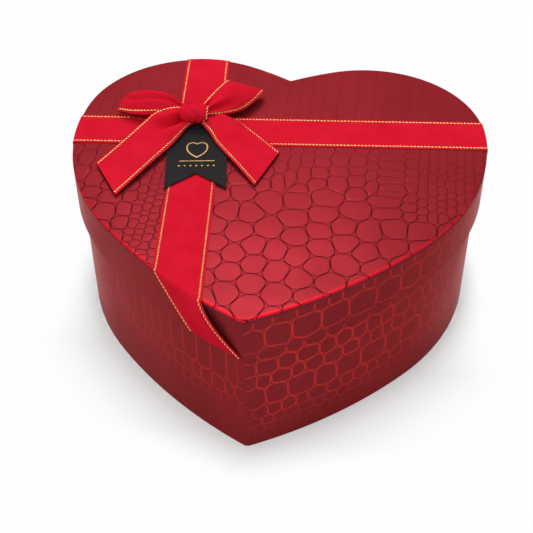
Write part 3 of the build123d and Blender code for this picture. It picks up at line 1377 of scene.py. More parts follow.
def pressed_mesh(
    name: str,
    points: list[Vector],
    faces: list[Sequence[int]],
    bare: list[bool],
    closing: list[Sequence[int]],
    presses: list[float],
) -> Mesh:
    """Mesh of a pressed paper.

    Args:
        name: Name of the mesh.
        points: Its points.
        faces: Faces of the pressed side.
        bare: Which of those show the paper's core.
        closing: Faces of its back and cut edges, which show the core too.
        presses: How dark the pressed line is at each point.

    Returns:
        The mesh.
    """
    mesh = bpy.data.meshes.new(name)
    mesh.from_pydata(points, [], [tuple(face) for face in faces] + closing)
    slots = [1 if core else 0 for core in bare] + [1] * len(closing)
    mesh.polygons.foreach_set("material_index", slots)
    mesh.attributes.new(PRESS, "FLOAT", "POINT").data.foreach_set("value", presses)
    shade_smooth(mesh)
    return mesh


def shade_smooth(mesh: Mesh, sharp_above: float = 20.0) -> None:
    """Shade a mesh smooth, with sharp edges above an angle.

    Args:
        mesh: The mesh.
        sharp_above: The angle, in degrees.
    """
    mesh.validate()
    mesh.update()
    mesh.shade_smooth()
    mesh.set_sharp_from_angle(angle=math.radians(sharp_above))


@dataclass
class TopPaper:
    """Embossed sheet on the lid's top, rolled over at its edge."""

    outline: HeartOutline
    scales: Lines
    top: float
    roll: float = 0.8 * MM
    slope: float = 0.06 * MM
    slope_reach: float = 5.0 * MM
    recess: float = 0.16 * MM
    skirt: float = 0.8 * MM
    under: float = 1.4 * MM
    sheet: float = 0.28 * MM
    step: float = 1.5 * MM
    rings: tuple[float, ...] = (0.0, 0.04, 0.16, 0.36, 0.62, 1.0, 1.7, 3.0)
    # these fields shape the painted highlight along the lid's front edge: its depth band, its fade towards
    # the back, its gain and the least front share
    highlight_depths: Pair = (0.6 * MM, 1.9 * MM)
    highlight_fade: Pair = (-80 * MM, 30 * MM)
    fade: Pair = (-35 * MM, 72 * MM)
    faintest: float = 0.3
    line_width: float = 0.75
    # side_weight and side_gain set how much darker the painted shade makes the side lines, more so towards
    # the back
    side_weight: float = 0.3
    side_gain: float = 0.6
    highlight_gain: float = 3.0
    highlight_least: float = 0.01

    @cached_property
    def border(self) -> list[tuple[Vector, Vector]]:
        """Places round the outline, with the way out at each."""
        return self.outline.spaced(math.ceil(self.outline.length / (self.step / 3)))

    @cached_property
    def finder(self) -> KDTree:
        """Search tree over the outline's places."""
        return finder_of([place for place, _ in self.border])

    def depth(self, flat: Vector) -> tuple[float, Vector]:
        """How far inside the outline a place is.

        Args:
            flat: Place in plan.

        Returns:
            The depth, and the way out at the nearest place of the outline.
        """
        index = self.finder.find(flat.to_3d())[1]
        place, outward = self.border[index]
        return (place - flat).dot(outward), outward

    def level(self, depth: float) -> float:
        """Height of the sheet's face.

        Args:
            depth: How far inside the outline.

        Returns:
            The height there.
        """
        if depth >= self.roll:
            rest = max(self.slope_reach - depth, 0.0) / (self.slope_reach - self.roll)
            return self.top - self.slope * rest * rest
        inward = self.roll - max(depth, 0.0)
        return self.top - self.slope - self.roll + math.sqrt(self.roll**2 - inward**2)

    def layout(self) -> tuple[FlatSheet, list[int]]:
        """Lay the sheet out flat.

        Returns:
            The sheet and the numbers of its border's points.
        """
        sheet = FlatSheet(self.line_width)
        count = math.ceil(self.outline.length / self.step)
        lines = [
            sheet.line([place for place, _ in self.outline.spaced(count, share * self.roll)], True)
            for share in self.rings
        ]
        for border in self.scales:
            if max(self.depth(corner)[0] for corner in border) > 0:
                share = soft_between(middle_of(border).y, self.fade)
                side_weight = self.side_weight + self.side_gain * share
                sheet.scale(border, 1 - (1 - self.faintest) * share, side_weight)
        return sheet, lines[0][::-1]

    def mesh(self) -> Mesh:
        """Closed mesh of the sheet.

        Returns:
            The mesh, with its back in the second material slot.
        """
        sheet, border = self.layout()
        flats, levels, presses, faces, _ = sheet.triangles(border)
        points = []
        painted_highlights = []
        for flat, level in zip(flats, levels):
            depth = self.depth(flat)[0]
            points.append(Vector((flat.x, flat.y, self.level(depth) + level * soft_step(depth / self.roll))))
            # painted highlight: a band along the edge gets the edge colour, wider and stronger towards the
            # front
            front = 1 - soft_between(flat.y, self.highlight_fade)
            reach = soft_between(depth / max(front, self.highlight_least), self.highlight_depths)
            painted_highlights.append((1 - reach) * min(self.highlight_gain * front, 1.0))
        mesh = pressed_mesh("embossed_top", points, faces, [False] * len(faces), [], presses)
        mesh.attributes.new(PAINTED_EDGE_HIGHLIGHT, "FLOAT", "POINT").data.foreach_set("value", painted_highlights)
        self.close(mesh)
        shade_smooth(mesh)
        return mesh

    def close(self, mesh: Mesh) -> None:
        """Turn the sheet's edge in under itself and fill its back.

        Args:
            mesh: The open sheet.
        """
        edge_level = self.level(0.0)
        steps = (
            (self.recess, edge_level - self.recess, 0),
            (self.recess, edge_level - self.skirt, 0),
            (self.under, self.top - self.sheet, 1),
        )
        sheet = bmesh.new()
        sheet.from_mesh(mesh)
        edges = [edge for edge in sheet.edges if edge.is_boundary]
        ways = {vert: self.depth(vert.co.xy)[1] for edge in edges for vert in edge.verts}
        starts = {vert: vert.co.xy.copy() for vert in ways}
        for inward, level, slot in steps:
            made = bmesh.ops.extrude_edge_only(sheet, edges=edges)["geom"]
            edges = [item for item in made if isinstance(item, bmesh.types.BMEdge) and item.is_boundary]
            for item in made:
                if isinstance(item, bmesh.types.BMFace):
                    item.material_index = slot
            fresh = {}
            for vert in {vert for edge in edges for vert in edge.verts}:
                others = [edge.other_vert(vert) for edge in vert.link_edges]
                before = next(other for other in others if other in ways)
                place = starts[before] - ways[before] * inward
                vert.co = (*place, level)
                fresh[vert] = before
            ways = {vert: ways[before] for vert, before in fresh.items()}
            starts = {vert: starts[before] for vert, before in fresh.items()}
        for face in bmesh.ops.edgeloop_fill(sheet, edges=edges)["faces"]:
            face.material_index = 1
        bmesh.ops.recalc_face_normals(sheet, faces=sheet.faces)
        sheet.to_mesh(mesh)
        sheet.free()


@dataclass
class Papers:
    """The embossed papers of base and lid."""

    lid_top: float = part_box("lid_top_sheet")[1].z
    rim_low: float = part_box("lid_rim_wrap")[0].z
    base_low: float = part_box("base_wrap")[0].z
    base_top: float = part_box("base_wrap")[1].z
    lined_face: float = 2.1 * MM
    lid_turn_in: float = 10.0 * MM
    base_turn_in: float = 15.0 * MM
    under_turn_in: float = 12.0 * MM
    rim_edge_drop: float = 1.65 * MM
    rim_edge: float = 0.4 * MM
    rim_edge_depth: float = 0.14 * MM
    top_reach: Pair = (118 * MM, 112 * MM)
    top_size: Pair = (13.0 * MM, 13.5 * MM)
    top_columns: tuple[ScaleColumn, ...] = tuple(
        ScaleColumn(*sizes) for sizes in (
            (-106, 8, 12, -20), (-98, 8, 11, -35), (-89, 10, 12, -45), (-79, 11, 12, -52),
            (-69.5, 8, 10, -62), (-63, 5, 5.5, -66), (-58.3, 4.6, 5, -70), (-53.8, 4.6, 5, -74),
            (-49, 5, 6, -78), (-42, 8, 8, -40), (-34, 8.5, 10, 10), (-25, 9, 9, -15), (-15, 11, 9, -16),
            (-4.5, 10, 9.5, -13), (4, 7, 9.5, -9), (10.5, 6.5, 10, -7), (17, 7, 10, -8), (25, 9, 10, -9),
            (34.5, 10, 10.5, -9), (44, 9, 9.5, -11), (51.5, 6, 9, -12), (61.2, 13.5, 6.4, -24),
            (71.5, 7, 7, -28), (77.5, 5, 6, -28), (82.3, 4.8, 5.5, -27), (87, 4.6, 5, -24),
            (91.6, 4.6, 5, -21), (96.2, 4.6, 5.5, -17), (100.8, 4.6, 5.5, -12), (105.4, 4.6, 6, -5),
            (110, 4.6, 6, 5),
        )
    )
    right_courses: tuple[ScaleCourse, ...] = tuple(
        ScaleCourse(*sizes) for sizes in (
            (8, 10), (8, 10), (4.5, 5), (4.5, 5), (5, 6), (6, 7), (8, 9), (14, 14), (9, 10), (9.5, 10),
            (11, 13), (14, 14), (8, 10), (10, 11), (10, 11),
        )
    )
    left_courses: tuple[ScaleCourse, ...] = tuple(
        ScaleCourse(*sizes) for sizes in (
            (8, 10), (8, 10), (4.5, 5), (5, 5), (5, 5), (5.5, 5), (6, 6), (7, 6.5), (10, 7), (25.5, 8.5),
            (25, 9), (10, 11), (10, 11),
        )
    )
    courses_low: float = -16.0 * MM
    narrowing: Pair = (200 * MM, 0.68)
    top_seed: int = 14
    top_tries: int = 16000
    top_corner_cut: float = 0.18
    wall_seed: int = 5
    wall_corner_cut: float = 0.12
    rim_fold: float = 0.2 * MM
    base_fold: float = 0.4 * MM
    bare_drop: float = 0.25 * MM
    rim_left_share: float = 0.2

    def top_scales(self) -> Lines:
        """Scales on the lid's top.

        Returns:
            Their borders.
        """
        source = random.Random(self.top_seed)
        reach = Vector(self.top_reach)
        columns = in_columns(self.top_columns, reach.y, source)
        seeds = scattered(-reach, reach, self.top_size, columns, source, self.top_tries)
        return ScaleField(seeds, self.top_corner_cut, relaxing=1).scales()

    def wall_scales(self) -> Lines:
        """Scales on the walls, laid out from the notch round to it and cut at the heart's point.

        Returns:
            Their borders.
        """
        length = LID_OUTLINE.length
        tip = Vector((length / 2, 0))
        source = random.Random(self.wall_seed)
        scales = []
        for courses, end, out in ((self.right_courses, 0.0, 1), (self.left_courses, length, -1)):
            seeds = coursed(courses, self.courses_low, tip.x, end, self.narrowing, source)
            borders = ScaleField(seeds, self.wall_corner_cut).scales()
            scales += [clip(border, tip, Vector((out, 0))) for border in borders]
        return scales

    def rim_path(self) -> FoldPath:
        """Section of the rim's paper: inside turn-in, lower edge, outside and its bevelled top edge.

        Returns:
            The section, with distances outside that equal levels.
        """
        bare = self.lid_top - self.rim_edge_drop
        corners = (
            (self.lined_face, self.rim_low + self.lid_turn_in),
            (self.lined_face, self.rim_low),
            (0.0, self.rim_low),
            (0.0, bare),
            (self.rim_edge_depth, bare + self.rim_edge),
        )
        flat = FoldPath(corners, 0.0, self.rim_fold)
        outside = (
            place.y - rise
            for place, rise in zip(flat.places, flat.rises)
            if place.x == 0 and place.y > self.rim_low
        )
        return FoldPath(corners, next(outside), self.rim_fold)

    def base_path(self) -> FoldPath:
        """Section of the base's paper: turned under, up the wall, over its top edge and down inside.

        Returns:
            The section.
        """
        corners = (
            (self.under_turn_in, self.base_low),
            (0.0, self.base_low),
            (0.0, self.base_top),
            (self.lined_face, self.base_top),
            (self.lined_face, self.base_top - self.base_turn_in),
        )
        return FoldPath(corners, self.base_low - self.under_turn_in, self.base_fold)

    def build(self) -> None:
        """Make and dress the three papers."""
        top = TopPaper(LID_OUTLINE, self.top_scales(), self.lid_top)
        add_piece(top.mesh(), Body.LID, (TOP_PAPER, PAPER_CORE), ["lid_top_sheet"])
        scales = self.wall_scales()
        length = LID_OUTLINE.length
        rim = WrapPaper("rim_paper", LID_OUTLINE, self.rim_path(), scales, length)
        rim.left_share = self.rim_left_share
        rim.bare_above = self.lid_top - self.rim_edge_drop - self.bare_drop
        add_piece(rim.mesh(), Body.LID, (WALL_PAPER, PAPER_CORE), ["lid_rim_wrap"])
        base = WrapPaper("base_paper", BASE_OUTLINE, self.base_path(), scales, length)
        add_piece(base.mesh(), Body.BASE, (WALL_PAPER, PAPER_CORE), ["base_wrap"])


@dataclass
class Strip:
    """A ribbon's middle surface, as rows of places across its width."""

    name: str
    rows: Lines
    thickness: float = 0.3 * MM
    sharp_above: float = 50.0

    @cached_property
    def normals(self) -> Lines:
        """Way out of the ribbon's face at each place."""
        last_row = len(self.rows) - 1
        last_column = len(self.rows[0]) - 1
        found = []
        for index, row in enumerate(self.rows):
            before = self.rows[max(index - 1, 0)]
            after = self.rows[min(index + 1, last_row)]
            found.append(
                [
                    (after[column] - before[column])
                    .cross(row[min(column + 1, last_column)] - row[max(column - 1, 0)])
                    .normalized()
                    for column in range(last_column + 1)
                ]
            )
        return found

    @cached_property
    def lengths(self) -> list[float]:
        """Distance along the ribbon's middle at each row."""
        middles = [row[len(row) // 2] for row in self.rows]
        steps = ((after - before).length for before, after in pairwise(middles))
        return list(accumulate(steps, initial=0.0))

    def mesh(self) -> Mesh:
        """Closed mesh of the ribbon, with its chart in a UV map.

        Returns:
            The mesh.
        """
        columns = len(self.rows[0])
        count = len(self.rows) * columns
        half = self.thickness / 2
        points = []
        for side in (half, -half):
            for row, ways in zip(self.rows, self.normals):
                points += [place + way * side for place, way in zip(row, ways)]
        grid = [list(range(first, first + columns)) for first in range(0, count, columns)]
        faces = []
        for row, following in pairwise(grid):
            for face in zip(row, following, following[1:], row[1:]):
                faces.append(face)
                faces.append(tuple(number + count for number in reversed(face)))
        for first, second in paired(rim_of(grid)):
            faces.append((first, second, second + count, first + count))
        mesh = bpy.data.meshes.new(self.name)
        mesh.from_pydata(points, [], faces)
        chart = mesh.uv_layers.new(name="weave")
        for loop in mesh.loops:
            row, column = divmod(loop.vertex_index % count, columns)
            chart.data[loop.index].uv = (column / (columns - 1), self.lengths[row])
        shade_smooth(mesh, self.sharp_above)
        return mesh


@dataclass(frozen=True)
class GoldEdge:
    """Two-ply gold thread woven along both edges of a ribbon."""

    inset: float = 1.5 * MM
    ply_radius: float = 0.32 * MM
    twist_radius: float = 0.26 * MM
    pitch: float = 3.7 * MM
    step: float = 0.36 * MM
    sides: int = 6
    sharp_above: float = 60.0

    def mesh(self, strip: Strip) -> Mesh:
        """Thread along both edges of a strip, in its second and last but one columns.

        Args:
            strip: The ribbon.

        Returns:
            Mesh of both threads.
        """
        points: list[Vector] = []
        painted_glints: list[float] = []
        faces: list[tuple[int, ...]] = []
        for column in (1, -2):
            line = [row[column] for row in strip.rows]
            ways = [row[column] for row in strip.normals]
            places = self.spaced(line, ways)
            for ply in (0.0, math.pi):
                self.add_ply(places, ply, points, faces)
                turns = [ply + 2 * math.pi * distance / self.pitch for _, _, _, distance in places]
                # painted highlight: each ply is marked for the glint colour where it lies on top of the twist
                painted_glints += [max(math.cos(turn), 0.0) ** 2 for turn in turns for _ in range(self.sides)]
        mesh = bpy.data.meshes.new(strip.name + "_thread")
        mesh.from_pydata(points, [], faces)
        mesh.attributes.new(PAINTED_BEAD_GLINT, "FLOAT", "POINT").data.foreach_set("value", painted_glints)
        shade_smooth(mesh, self.sharp_above)
        return mesh

    def spaced(self, line: list[Vector], ways: list[Vector]) -> list[tuple[Vector, Vector, Vector, float]]:
        """Evenly spaced places along a line.

        Args:
            line: Its places.
            ways: Way out of the ribbon at each.

        Returns:
            Place, way along, way out and distance of each new place.
        """
        places = []
        travelled = 0.0
        due = 0.0
        for start, end, way, next_way in zip(line, line[1:], ways, ways[1:]):
            length = (end - start).length
            if length == 0:
                continue
            while due <= travelled + length:
                share = (due - travelled) / length
                along = (end - start) / length
                places.append((start.lerp(end, share), along, way.lerp(next_way, share).normalized(), due))
                due += self.step
            travelled += length
        return places

    def add_ply(
        self,
        places: list[tuple[Vector, Vector, Vector, float]],
        start: float,
        points: list[Vector],
        faces: list[tuple[int, ...]],
    ) -> None:
        """Add one ply's tube.

        Args:
            places: The thread's line.
            start: Where round the thread the ply begins, in radians.
            points: Points of the mesh, which grow.
            faces: Faces of the mesh, which grow.
        """
        first = len(points)
        for place, along, way, distance in places:
            across = along.cross(way).normalized()
            turn = start + 2 * math.pi * distance / self.pitch
            centre = place + (way * math.cos(turn) + across * math.sin(turn)) * self.twist_radius
            for side in range(self.sides):
                angle = 2 * math.pi * side / self.sides
                points.append(centre + (way * math.cos(angle) + across * math.sin(angle)) * self.ply_radius)
        for ring in range(len(places) - 1):
            for side in range(self.sides):
                corner = first + ring * self.sides + side
                following = first + ring * self.sides + (side + 1) % self.sides
                faces.append((corner, following, following + self.sides, corner + self.sides))
        end = first + (len(places) - 1) * self.sides
        faces.append(tuple(range(first, first + self.sides))[::-1])
        faces.append(tuple(range(end, end + self.sides)))


RIBBON_WIDTH = 25.0 * MM
GOLD_EDGE = GoldEdge()


def ribbon_columns(inner: int) -> list[float]:
    """Shares of a ribbon's width at its columns, with one under each gold thread.

    Args:
        inner: Columns between the two threads.

    Returns:
        Shares from 0 to 1.
    """
    edge = GOLD_EDGE.inset / RIBBON_WIDTH
    between = [edge + (1 - 2 * edge) * (index + 1) / (inner + 1) for index in range(inner)]
    return [0.0, edge, *between, 1 - edge, 1.0]


def add_ribbon(strip: Strip, node: str) -> None:
    """Put a ribbon and its gold threads into the scene.

    Args:
        strip: The ribbon's middle surface.
        node: CAD node that it stands for.
    """
    ribbon = add_piece(strip.mesh(), Body.LID, [RIBBON_WEAVE], [node])
    thread = add_piece(GOLD_EDGE.mesh(strip), Body.LID, [GOLD_THREAD])
    flat = (RIBBON_WIDTH, strip.lengths[-1])


@dataclass
class Bands:
    """The two ribbon bands round the lid."""

    lid_top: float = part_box("lid_top_sheet")[1].z
    rim_low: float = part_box("lid_rim_wrap")[0].z
    inside: float = 2.3 * MM
    lift: float = 0.2 * MM
    tuck: float = 15.0 * MM
    skew: float = math.radians(5.0)
    crossing_inward: float = 3.4 * MM
    crossing_forward: float = 9.2 * MM
    edge_round: float = 0.8 * MM
    bridge: float = 0.4 * MM
    bridge_slope: float = 3.0 * MM
    top_step: float = 3.0 * MM
    stand_off: float = 2.4 * MM
    drift_share: float = 1.1
    end_bend: float = 0.5 * MM
    rim_steps: int = 8
    edge_turns: tuple[int, ...] = (20, 45, 70, 90)
    free_share: float = 0.9
    bulge_power: float = 0.7
    cross_columns: int = 7
    long_columns: int = 9

    @cached_property
    def crossing(self) -> Vector:
        """Where the bands cross, in plan."""
        lobe = Vector((-LID_OUTLINE.lobe_offset, LID_OUTLINE.lobe_line))
        return lobe + Vector((self.crossing_inward, -self.crossing_forward))

    def end_section(self) -> list[Pair]:
        """Section of a band's end, from inside the rim, under its edge and up the outside to the top.

        Returns:
            Depths and levels.
        """
        out = -self.lift
        foot = self.rim_low - self.lift
        top = self.lid_top + self.lift
        low = foot + self.end_bend
        height = self.lid_top - self.edge_round - foot - self.end_bend
        rise = [low + height * step / self.rim_steps for step in range(self.rim_steps + 1)]
        turn = [
            (out + self.edge_round * (1 - math.cos(angle)), top - self.edge_round * (1 - math.sin(angle)))
            for angle in (math.radians(degrees) for degrees in self.edge_turns)
        ]
        return [
            (self.inside, self.rim_low + self.tuck),
            (self.inside, low),
            (self.inside - self.end_bend, foot),
            (out + self.end_bend, foot),
            *((out, level) for level in rise),
            *turn,
        ]

    def end_rows(self, meets: list[float], shift: Callable[[int, float, float], Pair]) -> Lines:
        """Rows of one end of a band, from its tucked end up to the top.

        Args:
            meets: Where each column crosses the lid's edge, as a distance along the outline.
            shift: Sideways shift and stand-off of a column at a depth and level.

        Returns:
            The rows.
        """
        rows = []
        for depth, level in self.end_section():
            row = []
            for column, meet in enumerate(meets):
                sideways, off = shift(column, depth, level)
                plan, outward = LID_OUTLINE.at(meet + sideways, max(depth, 0.0))
                plan = plan + outward * (off - min(depth, 0.0))
                row.append(Vector((plan.x, plan.y, level)))
            rows.append(row)
        return rows

    def straight(self, _column: int, _depth: float, _level: float) -> Pair:
        """No shift and no stand-off."""
        return 0.0, 0.0

    def top_rows(self, starts: list[Vector], ends: list[Vector], bridge: bool) -> Lines:
        """Rows of a band across the lid's top, without its first and last.

        Args:
            starts: First place of each column.
            ends: Last place of each column.
            bridge: Whether it passes over the other band.

        Returns:
            The rows.
        """
        count = math.ceil((ends[0] - starts[0]).length / self.top_step)
        along = (ends[0] - starts[0]).xy.normalized()
        rows = []
        for index in range(1, count):
            row = []
            for start, end in zip(starts, ends):
                place = start.lerp(end, index / count)
                if bridge:
                    beyond = abs((place.xy - self.crossing).dot(along)) - RIBBON_WIDTH / 2
                    place.z += self.bridge * soft_step(1 - beyond / self.bridge_slope)
                row.append(place)
            rows.append(row)
        return rows

    def cross_band(self) -> Strip:
        """Band across the lobes.

        Returns:
            Its middle surface, from left to right.
        """
        way = unit(self.skew)
        side = Vector((-way.y, way.x))
        columns = ribbon_columns(self.cross_columns)
        origins = [self.crossing + side * RIBBON_WIDTH * (share - 0.5) for share in columns]
        left = self.end_rows([LID_OUTLINE.meet(origin, -way) for origin in origins], self.straight)
        right = self.end_rows([LID_OUTLINE.meet(origin, way) for origin in origins], self.straight)
        return Strip("cross_band", left + self.top_rows(left[-1], right[-1], False) + right[::-1])

    def long_band(self) -> Strip:
        """Band from the left lobe's back to the left flank.

        Returns:
            Its middle surface, from back to front.
        """
        way = unit(self.skew - math.pi / 2)
        side = Vector((-way.y, way.x))
        columns = ribbon_columns(self.long_columns)
        origins = [self.crossing + side * RIBBON_WIDTH * (share - 0.5) for share in columns]
        back = self.end_rows([LID_OUTLINE.meet(origin, -way) for origin in origins], self.straight)
        meets = [LID_OUTLINE.meet(origin, way) for origin in origins]
        outward = LID_OUTLINE.at(meets[len(meets) // 2])[1]
        slant = math.acos(way.dot(outward))
        rim = self.lid_top - self.rim_low
        drift = rim * math.tan(slant) * self.drift_share

        def askew(column: int, depth: float, level: float) -> Pair:
            """The fold runs askew down the rim, and its edge by the point stands off the wall.

            Args:
                column: The column's number.
                depth: Depth into the wall.
                level: Height.

            Returns:
                Sideways shift and stand-off.
            """
            if depth >= self.inside / 2:
                return -drift, 0.0
            share = min(max((self.lid_top - level) / rim, 0.0), 1.0)
            free = soft_step(columns[column] / self.free_share)
            off = self.stand_off * free * math.sin(math.pi * share**self.bulge_power)
            return -drift * share, off

        front = self.end_rows(meets, askew)
        return Strip("long_band", back + self.top_rows(back[-1], front[-1], True) + front[::-1])

    def build(self) -> None:
        """Make and dress both bands."""
        for strip, node in ((self.cross_band(), "cross_ribbon"), (self.long_band(), "long_ribbon")):
            add_ribbon(strip, node)


@dataclass(frozen=True)
class BowRow:
    """One line across a bow ribbon, by its two edges in the bow's own frame (mm).

    The middle swells by crown out of the straight line between the edges, a pleat of a depth runs
    along it at a share of the width, and gathers of a height ripple all of it.
    """

    first: Triple
    second: Triple
    crown: float = 0.0
    pleat: float = 0.0
    pleat_at: float = 0.5
    gather: float = 0.0


def through(points: Sequence[Vector], steps: int) -> list[Vector]:
    """Smooth line through points.

    Args:
        points: Points that it passes through.
        steps: New places for each stretch between two of them.

    Returns:
        The line's places.
    """
    line = []
    for index in range(len(points) - 1):
        start, end = points[index], points[index + 1]
        before = points[index - 1] if index else start * 2 - end
        after = points[index + 2] if index + 2 < len(points) else end * 2 - start
        for step in range(steps):
            share = step / steps
            line.append(
                (
                    start * 2
                    + (end - before) * share
                    + (before * 2 - start * 5 + end * 4 - after) * share**2
                    + (start * 3 - before - end * 3 + after) * share**3
                )
                / 2
            )
    return line + [points[-1]]


@dataclass
class Bow:
    """The bow on the crossing: two loops, two tails and the knot round their middle."""

    centre: Vector
    top: float
    pleat: float = 0.14
    loop_pleat: float = 0.08
    gathers: float = 2.5
    steps: int = 9
    inner_columns: int = 25
    left_tail: tuple[BowRow, ...] = (
        BowRow((-5, 7.5, 9.0), (-3, 1, 4.0), 1.0, 1.6, 0.55, 0.6),
        BowRow((-15, 6.8, 9.6), (-6, -4, 3.6), 2.2, 6.8, 0.55),
        BowRow((-23.5, 3, 8.4), (-10, -16, 3.2), 2.4, 6.2, 0.42),
        BowRow((-29, -2.5, 5.6), (-15.5, -27.5, 2.8), 1.8, 1.8, 0.32),
        BowRow((-38.5, -19, 3.0), (-23.5, -44.5, 2.4), 0.9),
        BowRow((-47.5, -36, 1.6), (-31.5, -60.8, 1.6), 0.3),
    )
    right_tail: tuple[BowRow, ...] = (
        BowRow((-3, 7, 4.6), (3, 9, 4.0), 1.2, gather=1.0),
        BowRow((1.2, 1.5, 4.2), (10.5, 12.8, 1.4), 4.8, 1.8, 0.42),
        BowRow((7, -5.5, 3.4), (20.5, 9, 1.2), 5.2, 1.8, 0.4),
        BowRow((12.5, -14.5, 3.0), (28, 1.5, 2.6), 2.4, 0.6, 0.4),
        BowRow((24.5, -29.5, 2.6), (37, -6.8, 2.4), 0.8),
        BowRow((36.5, -44.5, 1.4), (46, -14.5, 1.4), 0.2),
    )
    left_loop: tuple[BowRow, ...] = (
        BowRow((-6, 8.5, 8.0), (-6, 4.5, 8.0), 1.0, gather=1.2),
        BowRow((-12, 14, 6.8), (-12, 6.4, 6.4), 6.0, 3.0, 0.62, 0.3),
        BowRow((-19, 18, 6.4), (-18.5, 4.4, 6.2), 8.4, 3.8, 0.6, 0.2),
        BowRow((-30, 21, 6.0), (-28.5, 2.4, 6.6), 8.4, 3.0, 0.62),
        BowRow((-38, 23, 5.0), (-38, 4.8, 4.8), 6.4, 1.4, 0.66),
        BowRow((-43, 24.5, 3.4), (-45.5, 8.6, 3.4), 2.0),
        BowRow((-40.5, 25, 1.7), (-41.5, 7.0, 1.6)),
        BowRow((-28, 23.5, 1.7), (-28, 3.2, 1.6), -0.3, gather=0.3),
        BowRow((-6, 9, 5.5), (-6, 3.5, 5.0), -0.5, gather=1.5),
    )
    right_loop: tuple[BowRow, ...] = (
        BowRow((3, 5, 7.0), (1.5, 9.5, 10.5), 1.0, gather=1.6),
        BowRow((11.5, 8.8, 5.6), (4.5, 16, 12.5), 3.2, 2.8, 0.34, 0.5),
        BowRow((20.5, 15, 4.4), (7.5, 22.5, 13.6), 4.2, 0.8, 0.3),
        BowRow((27, 24, 4.6), (9.5, 28, 13.4), 3.0),
        BowRow((31.2, 35, 4.6), (10.5, 33.5, 10.8), 0.6),
        BowRow((28.5, 36, 2.0), (8, 32, 7.0), -0.5),
        BowRow((18, 22.5, 1.7), (3.5, 25, 4.6), -1.2, gather=1.3),
        BowRow((3.5, 6.5, 4.5), (1, 8.5, 6.0), -0.4, gather=2.0),
    )
    knot_middle: Triple = (-2.4, 4.6, 7.8)
    knot_half: Triple = (7.4, 5.2, 5.0)
    knot_draw: float = 0.2
    knot_narrow: Pair = (0.35, 0.8)
    knot_swell: float = 0.5
    knot_crease: float = 1.0
    knot_under: tuple[Pair, ...] = ((0.6, -0.8), (-0.2, -0.8), (-0.9, -0.7), (-1.0, -0.3))
    knot_rounds: int = 40
    knot_faces: int = 18
    knot_start: float = -0.94
    crease_path: Pair = (-0.55, 0.9)
    crease_width: float = 0.2
    draw_range: Pair = (0.2, 1.2)
    turn_range: Pair = (0.1, 0.4)
    turned_edge: tuple[Triple, Triple] = ((0.95, 0.02, -0.35), (1.0, -0.14, -1.1))

    def strip(self, name: str, rows: Sequence[BowRow], pleat_width: float) -> Strip:
        """Ribbon through rows.

        Args:
            name: Name of the ribbon.
            rows: Its rows, from the knot on.
            pleat_width: Share of its width that a pleat takes.

        Returns:
            The ribbon's middle surface.
        """
        base = Vector((self.centre.x, self.centre.y, self.top))
        firsts = through([base + Vector(row.first) * MM for row in rows], self.steps)
        seconds = through([base + Vector(row.second) * MM for row in rows], self.steps)
        forms = [Vector((row.crown, row.pleat, row.pleat_at, row.gather)) for row in rows]
        shapes = through(forms, self.steps)
        middles = [(first + second) / 2 for first, second in zip(firsts, seconds)]
        made = []
        for index, (first, second, shape) in enumerate(zip(firsts, seconds, shapes)):
            along = middles[min(index + 1, len(middles) - 1)] - middles[max(index - 1, 0)]
            out = along.cross(second - first).normalized()
            row = []
            for share in ribbon_columns(self.inner_columns):
                swell = shape.x * 4 * share * (1 - share)
                swell -= shape.y * math.exp(-(((share - shape.z) / pleat_width) ** 2))
                swell += shape.w * math.sin(2 * math.pi * self.gathers * share)
                row.append(first.lerp(second, share) + out * swell * MM)
            made.append(row)
        return Strip(name, made)

    def knot(self) -> Strip:
        """Band wrapped round the bow's middle, creased aslant, with its left edge turned under.

        Returns:
            Its middle surface.
        """
        middle = Vector((self.centre.x, self.centre.y, self.top)) + Vector(self.knot_middle) * MM
        half = Vector(self.knot_half) * MM
        crease_start, crease_travel = self.crease_path
        rows = []
        for index in range(self.knot_rounds + 1):
            turn = 2 * math.pi * index / self.knot_rounds
            crease_at = crease_travel * soft_step(2 * turn / math.pi - 1) + crease_start
            section = list(self.knot_under)
            for step in range(self.knot_faces + 1):
                across = (1 - self.knot_start) * step / self.knot_faces + self.knot_start
                swell = self.knot_swell * (1 - across**6)
                crease = math.exp(-(((across - crease_at) / self.crease_width) ** 2))
                section.append((across, swell - self.knot_crease * crease))
            drawn = soft_step((self.draw_range[0] - math.sin(turn)) / self.draw_range[1])
            turned = soft_step((self.turn_range[0] - math.sin(turn)) / self.turn_range[1])
            section[-2:] = [(edge + shift * turned, drop * turned) for edge, shift, drop in self.turned_edge]
            row = []
            for across, out in section:
                barrel = 1 - self.knot_draw * across**4
                depth = half.y * barrel + out * MM
                height = half.z * barrel + out * MM
                width = half.x * (1 - self.knot_narrow[0 if across < 0 else 1] * drawn)
                row.append(middle + Vector((width * across, depth * math.cos(turn), height * math.sin(turn))))
            rows.append(row)
        return Strip("bow_knot_wrap", rows)

    def build(self) -> None:
        """Make and dress the bow."""
        pieces = (
            ("left_loop", self.left_loop, self.loop_pleat, Hold.FOLDED),
            ("right_loop", self.right_loop, self.pleat, Hold.FOLDED),
            ("left_tail", self.left_tail, self.pleat, Hold.GATHERED),
            ("right_tail", self.right_tail, self.pleat, Hold.GATHERED),
        )
        for name, rows, pleat, hold in pieces:
            add_ribbon(self.strip(name, rows, pleat), "bow_" + name)
        add_ribbon(self.knot(), "bow_knot")


